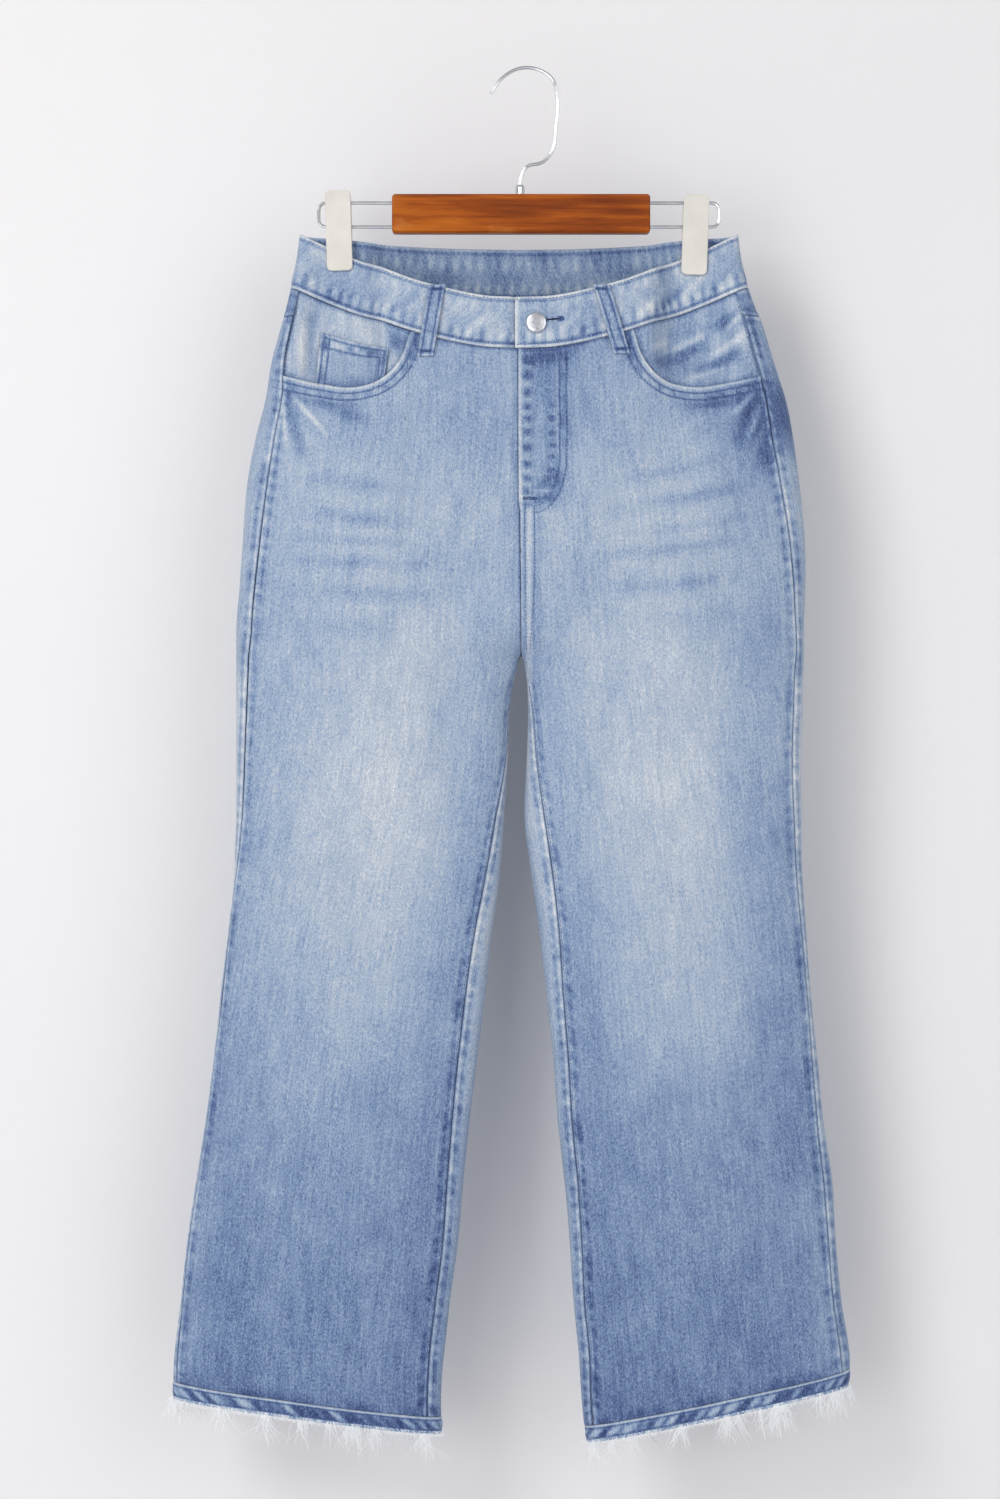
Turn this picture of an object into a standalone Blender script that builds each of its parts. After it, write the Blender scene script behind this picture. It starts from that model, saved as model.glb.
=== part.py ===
"""Flared five-pocket jeans with frayed hems, hanging from a wooden clip hanger.

Metres, +Z up, front towards -Y. The origin is the underside of the hook's top bend.
Left and right are the viewer's. Each leg is a flattened tube, lofted through the
sections in SECTIONS. Above the crotch the two tubes meet on the centre seam, and at
the waist the two clips pinch the front and back of the band together.
"""
import math

import bmesh
import bpy
import numpy as np
from mathutils import Matrix, Vector

# Cloth
PANEL = 0.0016
BAND = 0.0030
POCKET_CLOTH = 0.0012
LOOP_CLOTH = 0.0020
HEM_CLOTH = 0.0024
SEAM_GAP = 0.0003
WAIST_GAP = 0.0006
LAYER_GAP = 0.0011
BEARER_GAP = 0.0008
ROUNDNESS = 2.6
TURN_WEIGHT = 0.022

# Heights of the garment
CROTCH_Z = -0.505
HEM_BAND_HEIGHT = 0.0150
HEM_LINE = {"left": (-1.1265, -1.1570), "right": (-1.1165, -1.1645)}
HEM_REACH = {"left": (-0.2975, -0.0660), "right": (0.2830, 0.0560)}

# Sections of both legs: outer and inner edges in x, depth of the front and back halves,
# and how far the side seam and the inseam lie in from those edges on the front
SECTION_COLUMNS = ("z", "left_out", "left_in", "right_in", "right_out", "front", "back",
                   "left_side", "right_side", "left_inseam", "right_inseam")
SECTIONS = (
    (-1.190, -0.2985, -0.0655, 0.0590, 0.2830, 0.0220, 0.0210, 0.0040, 0.0030, 0.0120, 0.0060),
    (-1.135, -0.2976, -0.0662, 0.0533, 0.2835, 0.0225, 0.0215, 0.0045, 0.0050, 0.0120, 0.0080),
    (-1.109, -0.2967, -0.0645, 0.0516, 0.2847, 0.0225, 0.0215, 0.0034, 0.0085, 0.0125, 0.0090),
    (-1.058, -0.2907, -0.0585, 0.0464, 0.2778, 0.0230, 0.0220, 0.0022, 0.0086, 0.0130, 0.0095),
    (-1.006, -0.2847, -0.0516, 0.0430, 0.2726, 0.0235, 0.0225, 0.0020, 0.0075, 0.0135, 0.0105),
    (-0.955, -0.2778, -0.0473, 0.0387, 0.2692, 0.0240, 0.0230, 0.0021, 0.0085, 0.0140, 0.0115),
    (-0.903, -0.2700, -0.0421, 0.0327, 0.2614, 0.0245, 0.0235, 0.0020, 0.0062, 0.0150, 0.0125),
    (-0.851, -0.2632, -0.0361, 0.0292, 0.2571, 0.0255, 0.0245, 0.0016, 0.0060, 0.0160, 0.0130),
    (-0.800, -0.2571, -0.0301, 0.0241, 0.2520, 0.0265, 0.0255, 0.0018, 0.0045, 0.0163, 0.0140),
    (-0.748, -0.2511, -0.0241, 0.0181, 0.2477, 0.0275, 0.0265, 0.0012, 0.0048, 0.0150, 0.0165),
    (-0.697, -0.2460, -0.0172, 0.0112, 0.2442, 0.0285, 0.0275, 0.0022, 0.0060, 0.0120, 0.0182),
    (-0.645, -0.2434, -0.0129, 0.0043, 0.2434, 0.0300, 0.0290, 0.0060, 0.0078, 0.0070, 0.0175),
    (-0.593, -0.2425, -0.0095, 0.0060, 0.2425, 0.0315, 0.0305, 0.0078, 0.0088, 0.0012, 0.0085),
    (-0.542, -0.2425, -0.0072, 0.0072, 0.2442, 0.0330, 0.0325, 0.0100, 0.0093, 0.0004, 0.0025),
    (-0.515, -0.2425, -0.0016, 0.0050, 0.2448, 0.0345, 0.0350, 0.0112, 0.0090, 0.0002, 0.0002),
    (-0.505, -0.2425, 0.0017, 0.0017, 0.2451, 0.0350, 0.0360, 0.0116, 0.0084, 0.0002, 0.0002),
    (-0.500, -0.2425, 0.0097, -0.0063, 0.2451, 0.0352, 0.0364, 0.0122, 0.0080, 0.0002, 0.0002),
    (-0.495, -0.2425, 0.0207, -0.0173, 0.2451, 0.0354, 0.0368, 0.0128, 0.0080, 0.0002, 0.0002),
    (-0.485, -0.2425, 0.0497, -0.0463, 0.2451, 0.0357, 0.0374, 0.0140, 0.0082, 0.0002, 0.0002),
    (-0.470, -0.2420, 0.1070, -0.1036, 0.2453, 0.0360, 0.0380, 0.0142, 0.0090, 0.0002, 0.0002),
    (-0.450, -0.2400, 0.1800, -0.1766, 0.2460, 0.0361, 0.0385, 0.0138, 0.0105, 0.0002, 0.0002),
    (-0.415, -0.2378, 0.2378, -0.2460, 0.2460, 0.0362, 0.0388, 0.0155, 0.0135, 0.0002, 0.0002),
    (-0.353, -0.2331, 0.2331, -0.2408, 0.2408, 0.0358, 0.0385, 0.0188, 0.0182, 0.0002, 0.0002),
    (-0.318, -0.2270, 0.2270, -0.2356, 0.2356, 0.0350, 0.0370, 0.0182, 0.0195, 0.0002, 0.0002),
    (-0.284, -0.2184, 0.2184, -0.2290, 0.2290, 0.0338, 0.0345, 0.0158, 0.0182, 0.0002, 0.0002),
    (-0.249, -0.2125, 0.2125, -0.2180, 0.2180, 0.0320, 0.0305, 0.0118, 0.0160, 0.0002, 0.0002),
    (-0.215, -0.2030, 0.2030, -0.2075, 0.2075, 0.0300, 0.0255, 0.0092, 0.0150, 0.0002, 0.0002),
    (-0.198, -0.1985, 0.1985, -0.2005, 0.2005, 0.0290, 0.0230, 0.0085, 0.0130, 0.0002, 0.0002),
    (-0.181, -0.1950, 0.1950, -0.1955, 0.1955, 0.0280, 0.0205, 0.0080, 0.0110, 0.0002, 0.0002),
    (-0.163, -0.1912, 0.1912, -0.1912, 0.1912, 0.0270, 0.0185, 0.0075, 0.0090, 0.0002, 0.0002),
    (-0.135, -0.1880, 0.1880, -0.1880, 0.1880, 0.0260, 0.0170, 0.0070, 0.0080, 0.0002, 0.0002),
)

# Rows that the front and back panels share, so that their seams follow one line, and
# their rows above and below those, as shares of the way
SHARED_HEIGHTS = (-0.300, -0.350, -0.400, -0.435, -0.460, -0.478, -0.490, -0.498, -0.505,
                  -0.508, -0.516, -0.532, -0.560, -0.600, -0.660, -0.730, -0.800, -0.870,
                  -0.940, -1.010, -1.070)
FRONT_LEVELS = (0.0, 0.3333, 0.6667)
BACK_LEVELS = (0.0, 0.30, 0.601, 0.734, 0.867)
HEM_LEVELS = (0.5, 1.0)
FRONT_COLUMNS = (0.0, 0.10, 0.21, 0.32, 0.41, 0.475, 0.505, 0.525, 0.56, 0.63, 0.73, 0.82,
                 0.89, 0.95, 1.0)
BACK_COLUMNS = 18

# The centre seam leans a little towards the crotch
CENTRE_COLUMNS = ("z", "x")
CENTRE = ((-0.505, 0.0017), (-0.430, 0.0009), (-0.350, 0.0000), (-0.140, 0.0000))

# Edges that cross the front, by distance from the centre line
WAIST_TOP_COLUMNS = ("x", "z")
WAIST_TOP = ((0.0, -0.1995), (0.03, -0.1980), (0.06, -0.1920), (0.09, -0.1838),
             (0.12, -0.1722), (0.15, -0.1597), (0.19, -0.1415))
WAIST_SEAM_COLUMNS = ("x", "z")
WAIST_SEAM = ((0.0, -0.2434), (0.03, -0.2420), (0.06, -0.2366), (0.09, -0.2285),
              (0.12, -0.2180), (0.15, -0.2068), (0.18, -0.1945), (0.20, -0.1868))
POCKET_EDGE_COLUMNS = ("x", "z")
POCKET_EDGE = ((0.0955, -0.2285), (0.0990, -0.2417), (0.1036, -0.2520), (0.1114, -0.2623),
               (0.1217, -0.2699), (0.1360, -0.2744), (0.1527, -0.2755), (0.1700, -0.2727),
               (0.1870, -0.2696), (0.2150, -0.2620))
POCKET_SHIFT = 0.0026

# Edges that cross the back
BACK_TOP_CENTRE = -0.1520
BACK_SEAM_CENTRE = -0.1970
BACK_RISE = 0.0100
BACK_RISE_AT = 0.197
YOKE_CENTRE = -0.2620
YOKE_SIDE = -0.2130
YOKE_SIDE_AT = 0.2035

# Pinch of the waist between the clip plates
CLIP_X = {"left": -0.1546, "right": 0.1512}
PINCH_HALF = 0.0310
PINCH_FRONT = 0.0054
PINCH_BACK = 0.0034
PINCH_HOLD_Z = -0.2350
PINCH_END_Z = -0.3000

# Largest soft folds: a ridge stands out from the cloth and a trough sinks in
FOLD_COLUMNS = ("face", "x0", "z0", "x1", "z1", "half_width", "height")
FOLDS = (
    ("front", -0.150, -0.285, -0.120, -0.640, 0.034, 0.0034),
    ("front", 0.150, -0.285, 0.135, -0.600, 0.034, 0.0034),
    ("front", -0.060, -0.400, -0.052, -0.760, 0.026, -0.0030),
    ("front", 0.062, -0.420, 0.075, -0.800, 0.026, -0.0030),
    ("front", -0.200, -0.560, -0.222, -0.980, 0.024, -0.0026),
    ("front", 0.195, -0.600, 0.226, -1.060, 0.024, -0.0026),
    ("front", -0.120, -0.820, -0.170, -1.190, 0.036, 0.0030),
    ("front", 0.120, -0.840, 0.160, -1.190, 0.036, 0.0030),
    ("back", -0.120, -0.300, -0.130, -0.700, 0.040, 0.0034),
    ("back", 0.125, -0.320, 0.120, -0.680, 0.040, 0.0034),
    ("back", -0.070, -0.520, -0.100, -0.860, 0.028, -0.0030),
    ("back", 0.075, -0.500, 0.095, -0.900, 0.028, -0.0030),
    ("back", -0.170, -0.820, -0.210, -1.190, 0.034, 0.0030),
    ("back", 0.160, -0.800, 0.200, -1.190, 0.034, 0.0030),
)

# Fringe below each raw hem
FRINGE_STRIP = 0.0016
FRINGE_COLUMNS = 96
FRINGE_SEED = {"left": 3, "right": 11}
FRINGE_SHORTEST = 0.006
FRINGE_LONGEST = 0.021
FRINGE_SWAY = 0.0035

# Trimmings
LOOP_WIDTH = 0.0135
LOOP_BULGE = 0.0016
FRONT_LOOPS = {"left": (-0.0697, -0.0796), "right": (0.0701, 0.0869)}
LOOP_BELOW_SEAM = 0.0180
BACK_LOOPS = {"left": -0.105, "centre": 0.0, "right": 0.105}
BUTTON_PLACE = (0.0146, -0.2219)
BUTTON_RADIUS = 0.0088
BUTTON_HEIGHT = 0.0032
BAND_OVERLAP_X = -0.0034
BAND_UNDERLAP_X = 0.0360
BAND_STEP_X = (-0.0075, -0.0042)
FLY_BOTTOM = -0.3720
BEARER_BELOW = 0.0150
COIN_CORNERS = ((-0.1694, -0.2262), (-0.1118, -0.2434), (-0.1178, -0.2850), (-0.1754, -0.2850))
BACK_POCKET_X = 0.1080
BACK_POCKET_TOP = -0.3020
BACK_POCKET_WIDTH = 0.136
BACK_POCKET_HEIGHT = 0.150
BACK_POCKET_POINT = 0.022

# Hanger
BAR_SIZE = (0.2217, 0.0120, 0.0335)
BAR_CENTRE = (0.0018, 0.0, -0.12425)
WIRE_RADIUS = 0.0015
ARM_TOP_Z = -0.1144
ARM_BOTTOM_Z = -0.1350
ARM_END_X = 0.1722
ARM_CORNER = 0.0060
HOOK_ROUTE = ((0.0009, -0.1070), (0.0010, -0.0960), (0.0068, -0.0830), (0.0200, -0.0795),
              (0.0285, -0.0700), (0.0318, -0.0500), (0.0332, -0.0250), (0.0285, -0.0075),
              (0.0165, 0.0005), (0.0010, 0.0015), (-0.0140, -0.0065), (-0.0245, -0.0205))
COLLAR_RADIUS = 0.0042
COLLAR_HEIGHT = 0.0080
CLIP_SIZE = (0.0220, 0.0022, 0.0690)
CLIP_TOP_Z = {"left": -0.1049, "right": -0.1084}
CLIP_TILT = {"left": math.radians(-1.8), "right": math.radians(2.1)}
CLIP_CORNER = 0.0040
CLIP_CLEAR = 0.0012
SLIDER_WIDTH = 0.0150

LEFT_RIGHT = ("left", "right")


def clear_scene():
    """Remove whatever the file opened with."""
    for obj in list(bpy.data.objects):
        bpy.data.objects.remove(obj, do_unlink=True)


def column(rows, names, wanted):
    """Return one named column of a table."""
    return np.array([row[names.index(wanted)] for row in rows], dtype=float)


def smooth(x, xs, ys):
    """Read a smooth curve through the points xs, ys, held level past its ends."""
    slopes = np.gradient(ys, xs)
    x = np.clip(x, xs[0], xs[-1])
    i = np.clip(np.searchsorted(xs, x) - 1, 0, len(xs) - 2)
    step = xs[i + 1] - xs[i]
    t = (x - xs[i]) / step
    rise = t * t * (3 - 2 * t)
    bend = t * (1 - t) * ((1 - t) * slopes[i] - t * slopes[i + 1]) * step
    return ys[i] * (1 - rise) + ys[i + 1] * rise + bend


def section(z, wanted):
    """One column of SECTIONS at the heights z."""
    return smooth(z, column(SECTIONS, SECTION_COLUMNS, "z"),
                  column(SECTIONS, SECTION_COLUMNS, wanted))


def centre_x(z):
    """The centre seam's x at the heights z."""
    return smooth(z, column(CENTRE, CENTRE_COLUMNS, "z"), column(CENTRE, CENTRE_COLUMNS, "x"))


def across(x, rows, names):
    """The height of an edge of the front, at x on either side."""
    return smooth(np.abs(x), column(rows, names, "x"), column(rows, names, "z"))


def fade(value, start, end):
    """Ease from 1 at start to 0 at end."""
    t = np.clip((value - start) / (end - start), 0, 1)
    return 1 - t * t * (3 - 2 * t)


def fold_height(x, z, face):
    """Sum of the soft folds of one face at x, z."""
    total = np.zeros(np.broadcast(x, z).shape)
    for row in FOLDS:
        fold = dict(zip(FOLD_COLUMNS, row))
        if fold["face"] != face:
            continue
        run_x = fold["x1"] - fold["x0"]
        run_z = fold["z1"] - fold["z0"]
        length = math.hypot(run_x, run_z)
        along = ((x - fold["x0"]) * run_x + (z - fold["z0"]) * run_z) / length ** 2
        aside = ((x - fold["x0"]) * run_z - (z - fold["z0"]) * run_x) / length
        ends = np.sin(np.pi * np.clip(along, 0, 1)) ** 0.8
        total = total + fold["height"] * ends * np.exp(-(aside / fold["half_width"]) ** 2)
    return total


def spread(side, z):
    """Centre and signed half width of one leg's section."""
    outer = section(z, side + "_out")
    inner = section(z, side + "_in")
    return (outer + inner) / 2, (inner - outer) / 2


def surface(side, angle, z):
    """Points of the cloth's outer face.

    The angle is 0 at the outer edge, rises over the front and falls over the back.
    """
    middle, half = spread(side, z)
    power = 2 / ROUNDNESS
    cosine = np.cos(angle)
    sine = np.sin(angle)
    x = middle - half * np.sign(cosine) * np.abs(cosine) ** power
    swell = np.abs(sine) ** power
    front = sine > 0
    depth = np.where(front, section(z, "front"), section(z, "back")) * swell
    folds = np.where(front, fold_height(x, z, "front"), fold_height(x, z, "back"))
    depth = depth + folds * swell
    held = np.where(front, PINCH_FRONT, PINCH_BACK)
    from_clip = x - np.where(x < 0, CLIP_X["left"], CLIP_X["right"])
    near = np.exp(-(from_clip / PINCH_HALF) ** 4)
    pinch = near * fade(z, PINCH_HOLD_Z, PINCH_END_Z)
    depth = depth - np.maximum(depth - held, 0) * pinch
    return np.stack([x, np.where(front, -depth, depth), z + 0 * x], axis=-1)


def outward(side, angle, z):
    """Unit normals of the cloth's outer face."""
    turn = 0.002
    rise = 0.0005
    along = surface(side, angle + turn, z) - surface(side, angle - turn, z)
    up = surface(side, angle, z + rise) - surface(side, angle, z - rise)
    normal = np.cross(along, up)
    normal /= np.linalg.norm(normal, axis=-1, keepdims=True)
    return normal if side == "left" else -normal


def angle_of_reach(reach):
    """Angle on the front where the section reaches this share of its half width."""
    reach = np.clip(reach, -1, 1)
    return np.arccos(np.sign(reach) * np.abs(reach) ** (ROUNDNESS / 2))


def angle_at_x(side, x, z):
    """Angle on the front where one leg's section crosses x."""
    middle, half = spread(side, z)
    return angle_of_reach((middle - x) / half)


def side_seam(side, z):
    """Angle of the side seam, which lies on the front."""
    half = np.abs(spread(side, z)[1])
    return angle_of_reach(1 - section(z, side + "_side") / half)


def centre_cut(side, z):
    """Angle where the front of one leg meets the centre seam."""
    lean = -SEAM_GAP / 2 if side == "left" else SEAM_GAP / 2
    return angle_at_x(side, centre_x(z) + lean, z)


def inseam(side, z):
    """Angle where a front panel ends: the centre seam, or the inseam below the crotch."""
    half = np.abs(spread(side, z)[1])
    below = math.pi - angle_of_reach(1 - section(z, side + "_inseam") / half)
    return np.minimum(below, centre_cut(side, z))


def back_end(side, z):
    """Angle where a back panel ends, having gone round the back."""
    return np.where(z > CROTCH_Z, -centre_cut(side, z), inseam(side, z) - 2 * math.pi)


def angles_between(side, start, end, share, z):
    """Angles at the given shares of the way from start to end.

    The way is measured along the cloth and lengthened where it turns, so that the
    grid is closer at the folded edges.
    """
    steps = np.linspace(0, 1, 121)
    fan = start[..., None] + (end - start)[..., None] * steps
    points = surface(side, fan, z[..., None] + 0 * steps)[..., :2]
    run = np.diff(points, axis=-2)
    length = np.linalg.norm(run, axis=-1)
    heading = np.unwrap(np.arctan2(run[..., 1], run[..., 0]), axis=-1)
    turning = np.abs(np.diff(heading, axis=-1, prepend=heading[..., :1]))
    way = np.concatenate([np.zeros(length.shape[:-1] + (1,)),
                          np.cumsum(length + TURN_WEIGHT * turning, axis=-1)], axis=-1)
    flat_way = way.reshape(-1, way.shape[-1])
    flat_fan = fan.reshape(-1, fan.shape[-1])
    flat_share = np.broadcast_to(share, z.shape).reshape(-1)
    found = np.empty(len(flat_share))
    for k, part in enumerate(flat_share):
        total = flat_way[k, -1]
        goal = SEAM_GAP / 2 + part * (total - SEAM_GAP)
        found[k] = np.interp(goal, flat_way[k], flat_fan[k])
    return found.reshape(z.shape)


def edge_heights(side, start_of, end_of, shares, height_of):
    """Heights of an edge that crosses a panel, at the panel's columns.

    start_of and end_of give a seam's angle at a height. height_of gives the edge's
    height from x and the face.
    """
    z = np.full(len(shares), height_of(np.zeros(1), np.ones(1, bool))[0])
    for _ in range(14):
        angle = angles_between(side, start_of(z), end_of(z), shares, z)
        z = height_of(surface(side, angle, z)[..., 0], np.sin(angle) > 0)
    return z


def grid(side, start_of, end_of, top_of, bottom_of, shares, levels, shared=None):
    """Angles and heights of a panel between two seams, a top edge and a bottom edge.

    Without shared heights the levels run from the top edge to the bottom edge. With
    them, the levels are a pair: the way down to the first shared height, and the way
    from the last shared height to the bottom edge.
    """
    shares = np.array(shares)
    top = edge_heights(side, start_of, end_of, shares, top_of)
    bottom = edge_heights(side, start_of, end_of, shares, bottom_of)
    if shared is None:
        rows = [top + (bottom - top) * t for t in levels]
    else:
        rows = [top + (shared[0] - top) * t for t in levels[0]]
        rows += [height + 0 * top for height in shared]
        rows += [shared[-1] + (bottom - shared[-1]) * t for t in levels[1]]
    z = np.stack(rows)
    share = np.broadcast_to(shares, z.shape)
    return angles_between(side, start_of(z), end_of(z), share, z), z


def waist_seam_z(x, front):
    """Height of the seam under the waistband."""
    back = BACK_SEAM_CENTRE + BACK_RISE * (x / BACK_RISE_AT) ** 2
    return np.where(front, across(x, WAIST_SEAM, WAIST_SEAM_COLUMNS), back)


def waist_top_z(x, front):
    """Height of the waistband's upper edge."""
    back = BACK_TOP_CENTRE + BACK_RISE * (x / BACK_RISE_AT) ** 2
    return np.where(front, across(x, WAIST_TOP, WAIST_TOP_COLUMNS), back)


def yoke_seam_z(x, front):
    """Height of the yoke seam, a shallow V on the back."""
    rise = (YOKE_SIDE - YOKE_CENTRE) * np.clip(np.abs(x) / YOKE_SIDE_AT, 0, 1)
    return np.where(front, YOKE_SIDE, YOKE_CENTRE + rise)


def pocket_edge_z(x):
    """Height of the scooped pocket edge."""
    return across(x - POCKET_SHIFT, POCKET_EDGE, POCKET_EDGE_COLUMNS)


def front_top_z(x, front):
    """Upper edge of a front panel: the waist seam, then the scooped pocket edge."""
    inside = waist_seam_z(x, True) - WAIST_GAP
    scoop = np.minimum(pocket_edge_z(x), inside)
    return np.where(np.abs(x - POCKET_SHIFT) < POCKET_EDGE[0][0], inside, scoop)


def hem_z(side, drop):
    """Height of the hem line, lowered by drop."""
    (outer_z, inner_z), (outer_x, inner_x) = HEM_LINE[side], HEM_REACH[side]

    def bottom(x, front):
        return outer_z + (inner_z - outer_z) * (x - outer_x) / (inner_x - outer_x) - drop
    return bottom


def material(name, colour, roughness, metallic=0.0):
    """A plain Principled material."""
    made = bpy.data.materials.new(name)
    made.use_nodes = True
    shader = made.node_tree.nodes["Principled BSDF"]
    shader.inputs["Base Color"].default_value = (*colour, 1)
    shader.inputs["Roughness"].default_value = roughness
    shader.inputs["Metallic"].default_value = metallic
    made.diffuse_color = (*colour, 1)
    return made


def finish(mesh, name, collection, look, smooth_angle=40):
    """Make an object of a bmesh, facing out and smooth but for its sharp edges."""
    bmesh.ops.recalc_face_normals(mesh, faces=mesh.faces)
    if mesh.calc_volume(signed=True) < 0:
        bmesh.ops.reverse_faces(mesh, faces=mesh.faces)
    data = bpy.data.meshes.new(name)
    mesh.to_mesh(data)
    mesh.free()
    data.shade_smooth()
    data.set_sharp_from_angle(angle=math.radians(smooth_angle))
    obj = bpy.data.objects.new(name, data)
    collection.objects.link(obj)
    data.materials.append(look)
    return obj


def wall(outer, inner, closed=False):
    """Join two grids of points, one behind the other, into one closed wall."""
    mesh = bmesh.new()
    rows, columns = outer.shape[:2]
    faces = {}
    for face, points in (("outer", outer), ("inner", inner)):
        faces[face] = [[mesh.verts.new(points[r, c]) for c in range(columns)]
                       for r in range(rows)]
    wrap = columns if closed else columns - 1
    for r in range(rows - 1):
        for c in range(wrap):
            d = (c + 1) % columns
            for name in ("outer", "inner"):
                ring = faces[name]
                mesh.faces.new((ring[r][c], ring[r][d], ring[r + 1][d], ring[r + 1][c]))
    out, inn = faces["outer"], faces["inner"]
    for r in (0, rows - 1):
        for c in range(wrap):
            d = (c + 1) % columns
            mesh.faces.new((out[r][c], out[r][d], inn[r][d], inn[r][c]))
    if not closed:
        for c in (0, columns - 1):
            for r in range(rows - 1):
                mesh.faces.new((out[r][c], out[r + 1][c], inn[r + 1][c], inn[r][c]))
    return mesh


def cloth(name, side, angle, z, thickness, collection, look, inset=0.0, closed=False):
    """A wall of cloth on the garment's surface, its outer face sunk in by inset."""
    points = surface(side, angle, z)
    normal = outward(side, angle, z)
    outer = points - normal * np.asarray(inset)[..., None]
    inner = outer - normal * thickness
    return finish(wall(outer, inner, closed), name, collection, look)


def build_panels(collection, denim):
    """Front and back panels and the yokes."""
    for side in LEFT_RIGHT:
        angle, z = grid(side, lambda h: side_seam(side, h), lambda h: inseam(side, h),
                        front_top_z, hem_z(side, -SEAM_GAP), FRONT_COLUMNS,
                        (FRONT_LEVELS, HEM_LEVELS), SHARED_HEIGHTS)
        cloth("front_" + side, side, angle, z, PANEL, collection, denim)
        angle, z = grid(side, lambda h: side_seam(side, h), lambda h: back_end(side, h),
                        lambda x, f: yoke_seam_z(x, f) - SEAM_GAP, hem_z(side, -SEAM_GAP),
                        np.linspace(0, 1, BACK_COLUMNS), (BACK_LEVELS, HEM_LEVELS),
                        SHARED_HEIGHTS)
        cloth("back_" + side, side, angle, z, PANEL, collection, denim)
        angle, z = grid(side, lambda h: side_seam(side, h), lambda h: back_end(side, h),
                        lambda x, f: waist_seam_z(x, f) - WAIST_GAP, yoke_seam_z,
                        np.linspace(0, 1, 15), np.linspace(0, 1, 4))
        cloth("yoke_" + side, side, angle, z, PANEL, collection, denim)


def build_waistband(collection, denim):
    """One strip round the waist. Its right end laps over its left end at the front."""
    levels = np.linspace(0, 1, 3)
    reach = {"right": BAND_OVERLAP_X, "left": BAND_UNDERLAP_X}
    count = {"right": 32, "left": 36}
    halves = {}
    for side in LEFT_RIGHT:
        shares = np.linspace(0, 1, count[side])
        angle, z = grid(side, lambda h: angle_at_x(side, reach[side] + 0 * h, h),
                        lambda h: -angle_at_x(side, 0 * h, h), waist_top_z, waist_seam_z,
                        shares, levels)
        points = surface(side, angle, z)
        normal = outward(side, angle, z)
        lap = np.zeros(z.shape)
        if side == "left":
            front = np.sin(angle) > 0
            lap = (1 - fade(points[..., 0], *BAND_STEP_X)) * front * (BAND + SEAM_GAP)
        outer = points - normal * lap[..., None]
        halves[side] = (outer, outer - normal * BAND)
    joined = []
    for k in (0, 1):
        right = halves["right"][k][:, :-1]
        left = halves["left"][k][:, ::-1]
        joined.append(np.concatenate([right, left], axis=1))
    finish(wall(*joined), "waistband", collection, denim)


def patch(side, face, corners, steps, push):
    """Points on one face of the garment over a four-cornered patch, pushed out.

    corners are x, z, going round. push is one distance or one for each point.
    """
    u, v = np.meshgrid(np.linspace(0, 1, steps[0]), np.linspace(0, 1, steps[1]))
    corner = np.array(corners)
    flat = ((1 - u) * (1 - v))[..., None] * corner[0] + (u * (1 - v))[..., None] * corner[1]
    flat = flat + (u * v)[..., None] * corner[2] + ((1 - u) * v)[..., None] * corner[3]
    return on_face(side, face, flat[..., 0], flat[..., 1], push, v)


def on_face(side, face, x, z, push, v=None):
    """Points on one face at x, z, pushed out, with their normals."""
    angle = angle_at_x(side, x, z)
    if face == "back":
        angle = -angle
    normal = outward(side, angle, z)
    if callable(push):
        push = push(v)
    return surface(side, angle, z) + normal * np.asarray(push)[..., None], normal


def build_pockets(collection, denim):
    """Bearers behind the scooped openings, the coin pocket and the two back pockets."""
    bearer_inset = {"left": PANEL + POCKET_CLOTH + 2 * LAYER_GAP, "right": PANEL + BEARER_GAP}
    for side in LEFT_RIGHT:
        sign = -1 if side == "left" else 1
        inner_x = sign * (POCKET_EDGE[0][0] - BEARER_BELOW)

        def low(x, front):
            return pocket_edge_z(x) - BEARER_BELOW
        angle, z = grid(side, lambda h: side_seam(side, h),
                        lambda h: angle_at_x(side, inner_x + 0 * h, h),
                        lambda x, f: waist_seam_z(x, True) - WAIST_GAP, low,
                        np.linspace(0, 1, 14), np.linspace(0, 1, 7))
        cloth("pocket_bearer_" + side, side, angle, z, POCKET_CLOTH, collection, denim,
              inset=bearer_inset[side])
        half = BACK_POCKET_WIDTH / 2
        top = BACK_POCKET_TOP
        u, v = np.meshgrid(np.linspace(-1, 1, 8), np.linspace(0, 1, 7))
        x = sign * BACK_POCKET_X + half * u * (1 - 0.10 * v)
        z = top - v * (BACK_POCKET_HEIGHT - BACK_POCKET_POINT * np.abs(u))
        outer, normal = on_face(side, "back", x, z, LAYER_GAP + POCKET_CLOTH)
        finish(wall(outer, outer - normal * POCKET_CLOTH), "back_pocket_" + side,
               collection, denim)
    outer, normal = patch("left", "front", COIN_CORNERS, (12, 6), -(PANEL + LAYER_GAP))
    finish(wall(outer, outer - normal * POCKET_CLOTH), "coin_pocket", collection, denim)


def build_fly(collection, denim, tape):
    """The zip and the shield behind the opening at the centre front."""
    layers = (("zip", tape, (-0.0080, 0.0220), PANEL + SEAM_GAP, 0.0020, FLY_BOTTOM + 0.010),
              ("fly_shield", denim, (-0.0060, 0.0400), PANEL + 0.0020 + 2 * SEAM_GAP, PANEL,
               FLY_BOTTOM))
    for name, look, (x0, x1), inset, thickness, bottom in layers:
        u, v = np.meshgrid(np.linspace(0, 1, 4), np.linspace(0, 1, 6))
        x = x0 + (x1 - x0) * u
        top = waist_seam_z(x, True) - 4 * SEAM_GAP
        outer, normal = on_face("right", "front", x, top + (bottom - top) * v, -inset)
        finish(wall(outer, outer - normal * thickness), name, collection, look)


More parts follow.
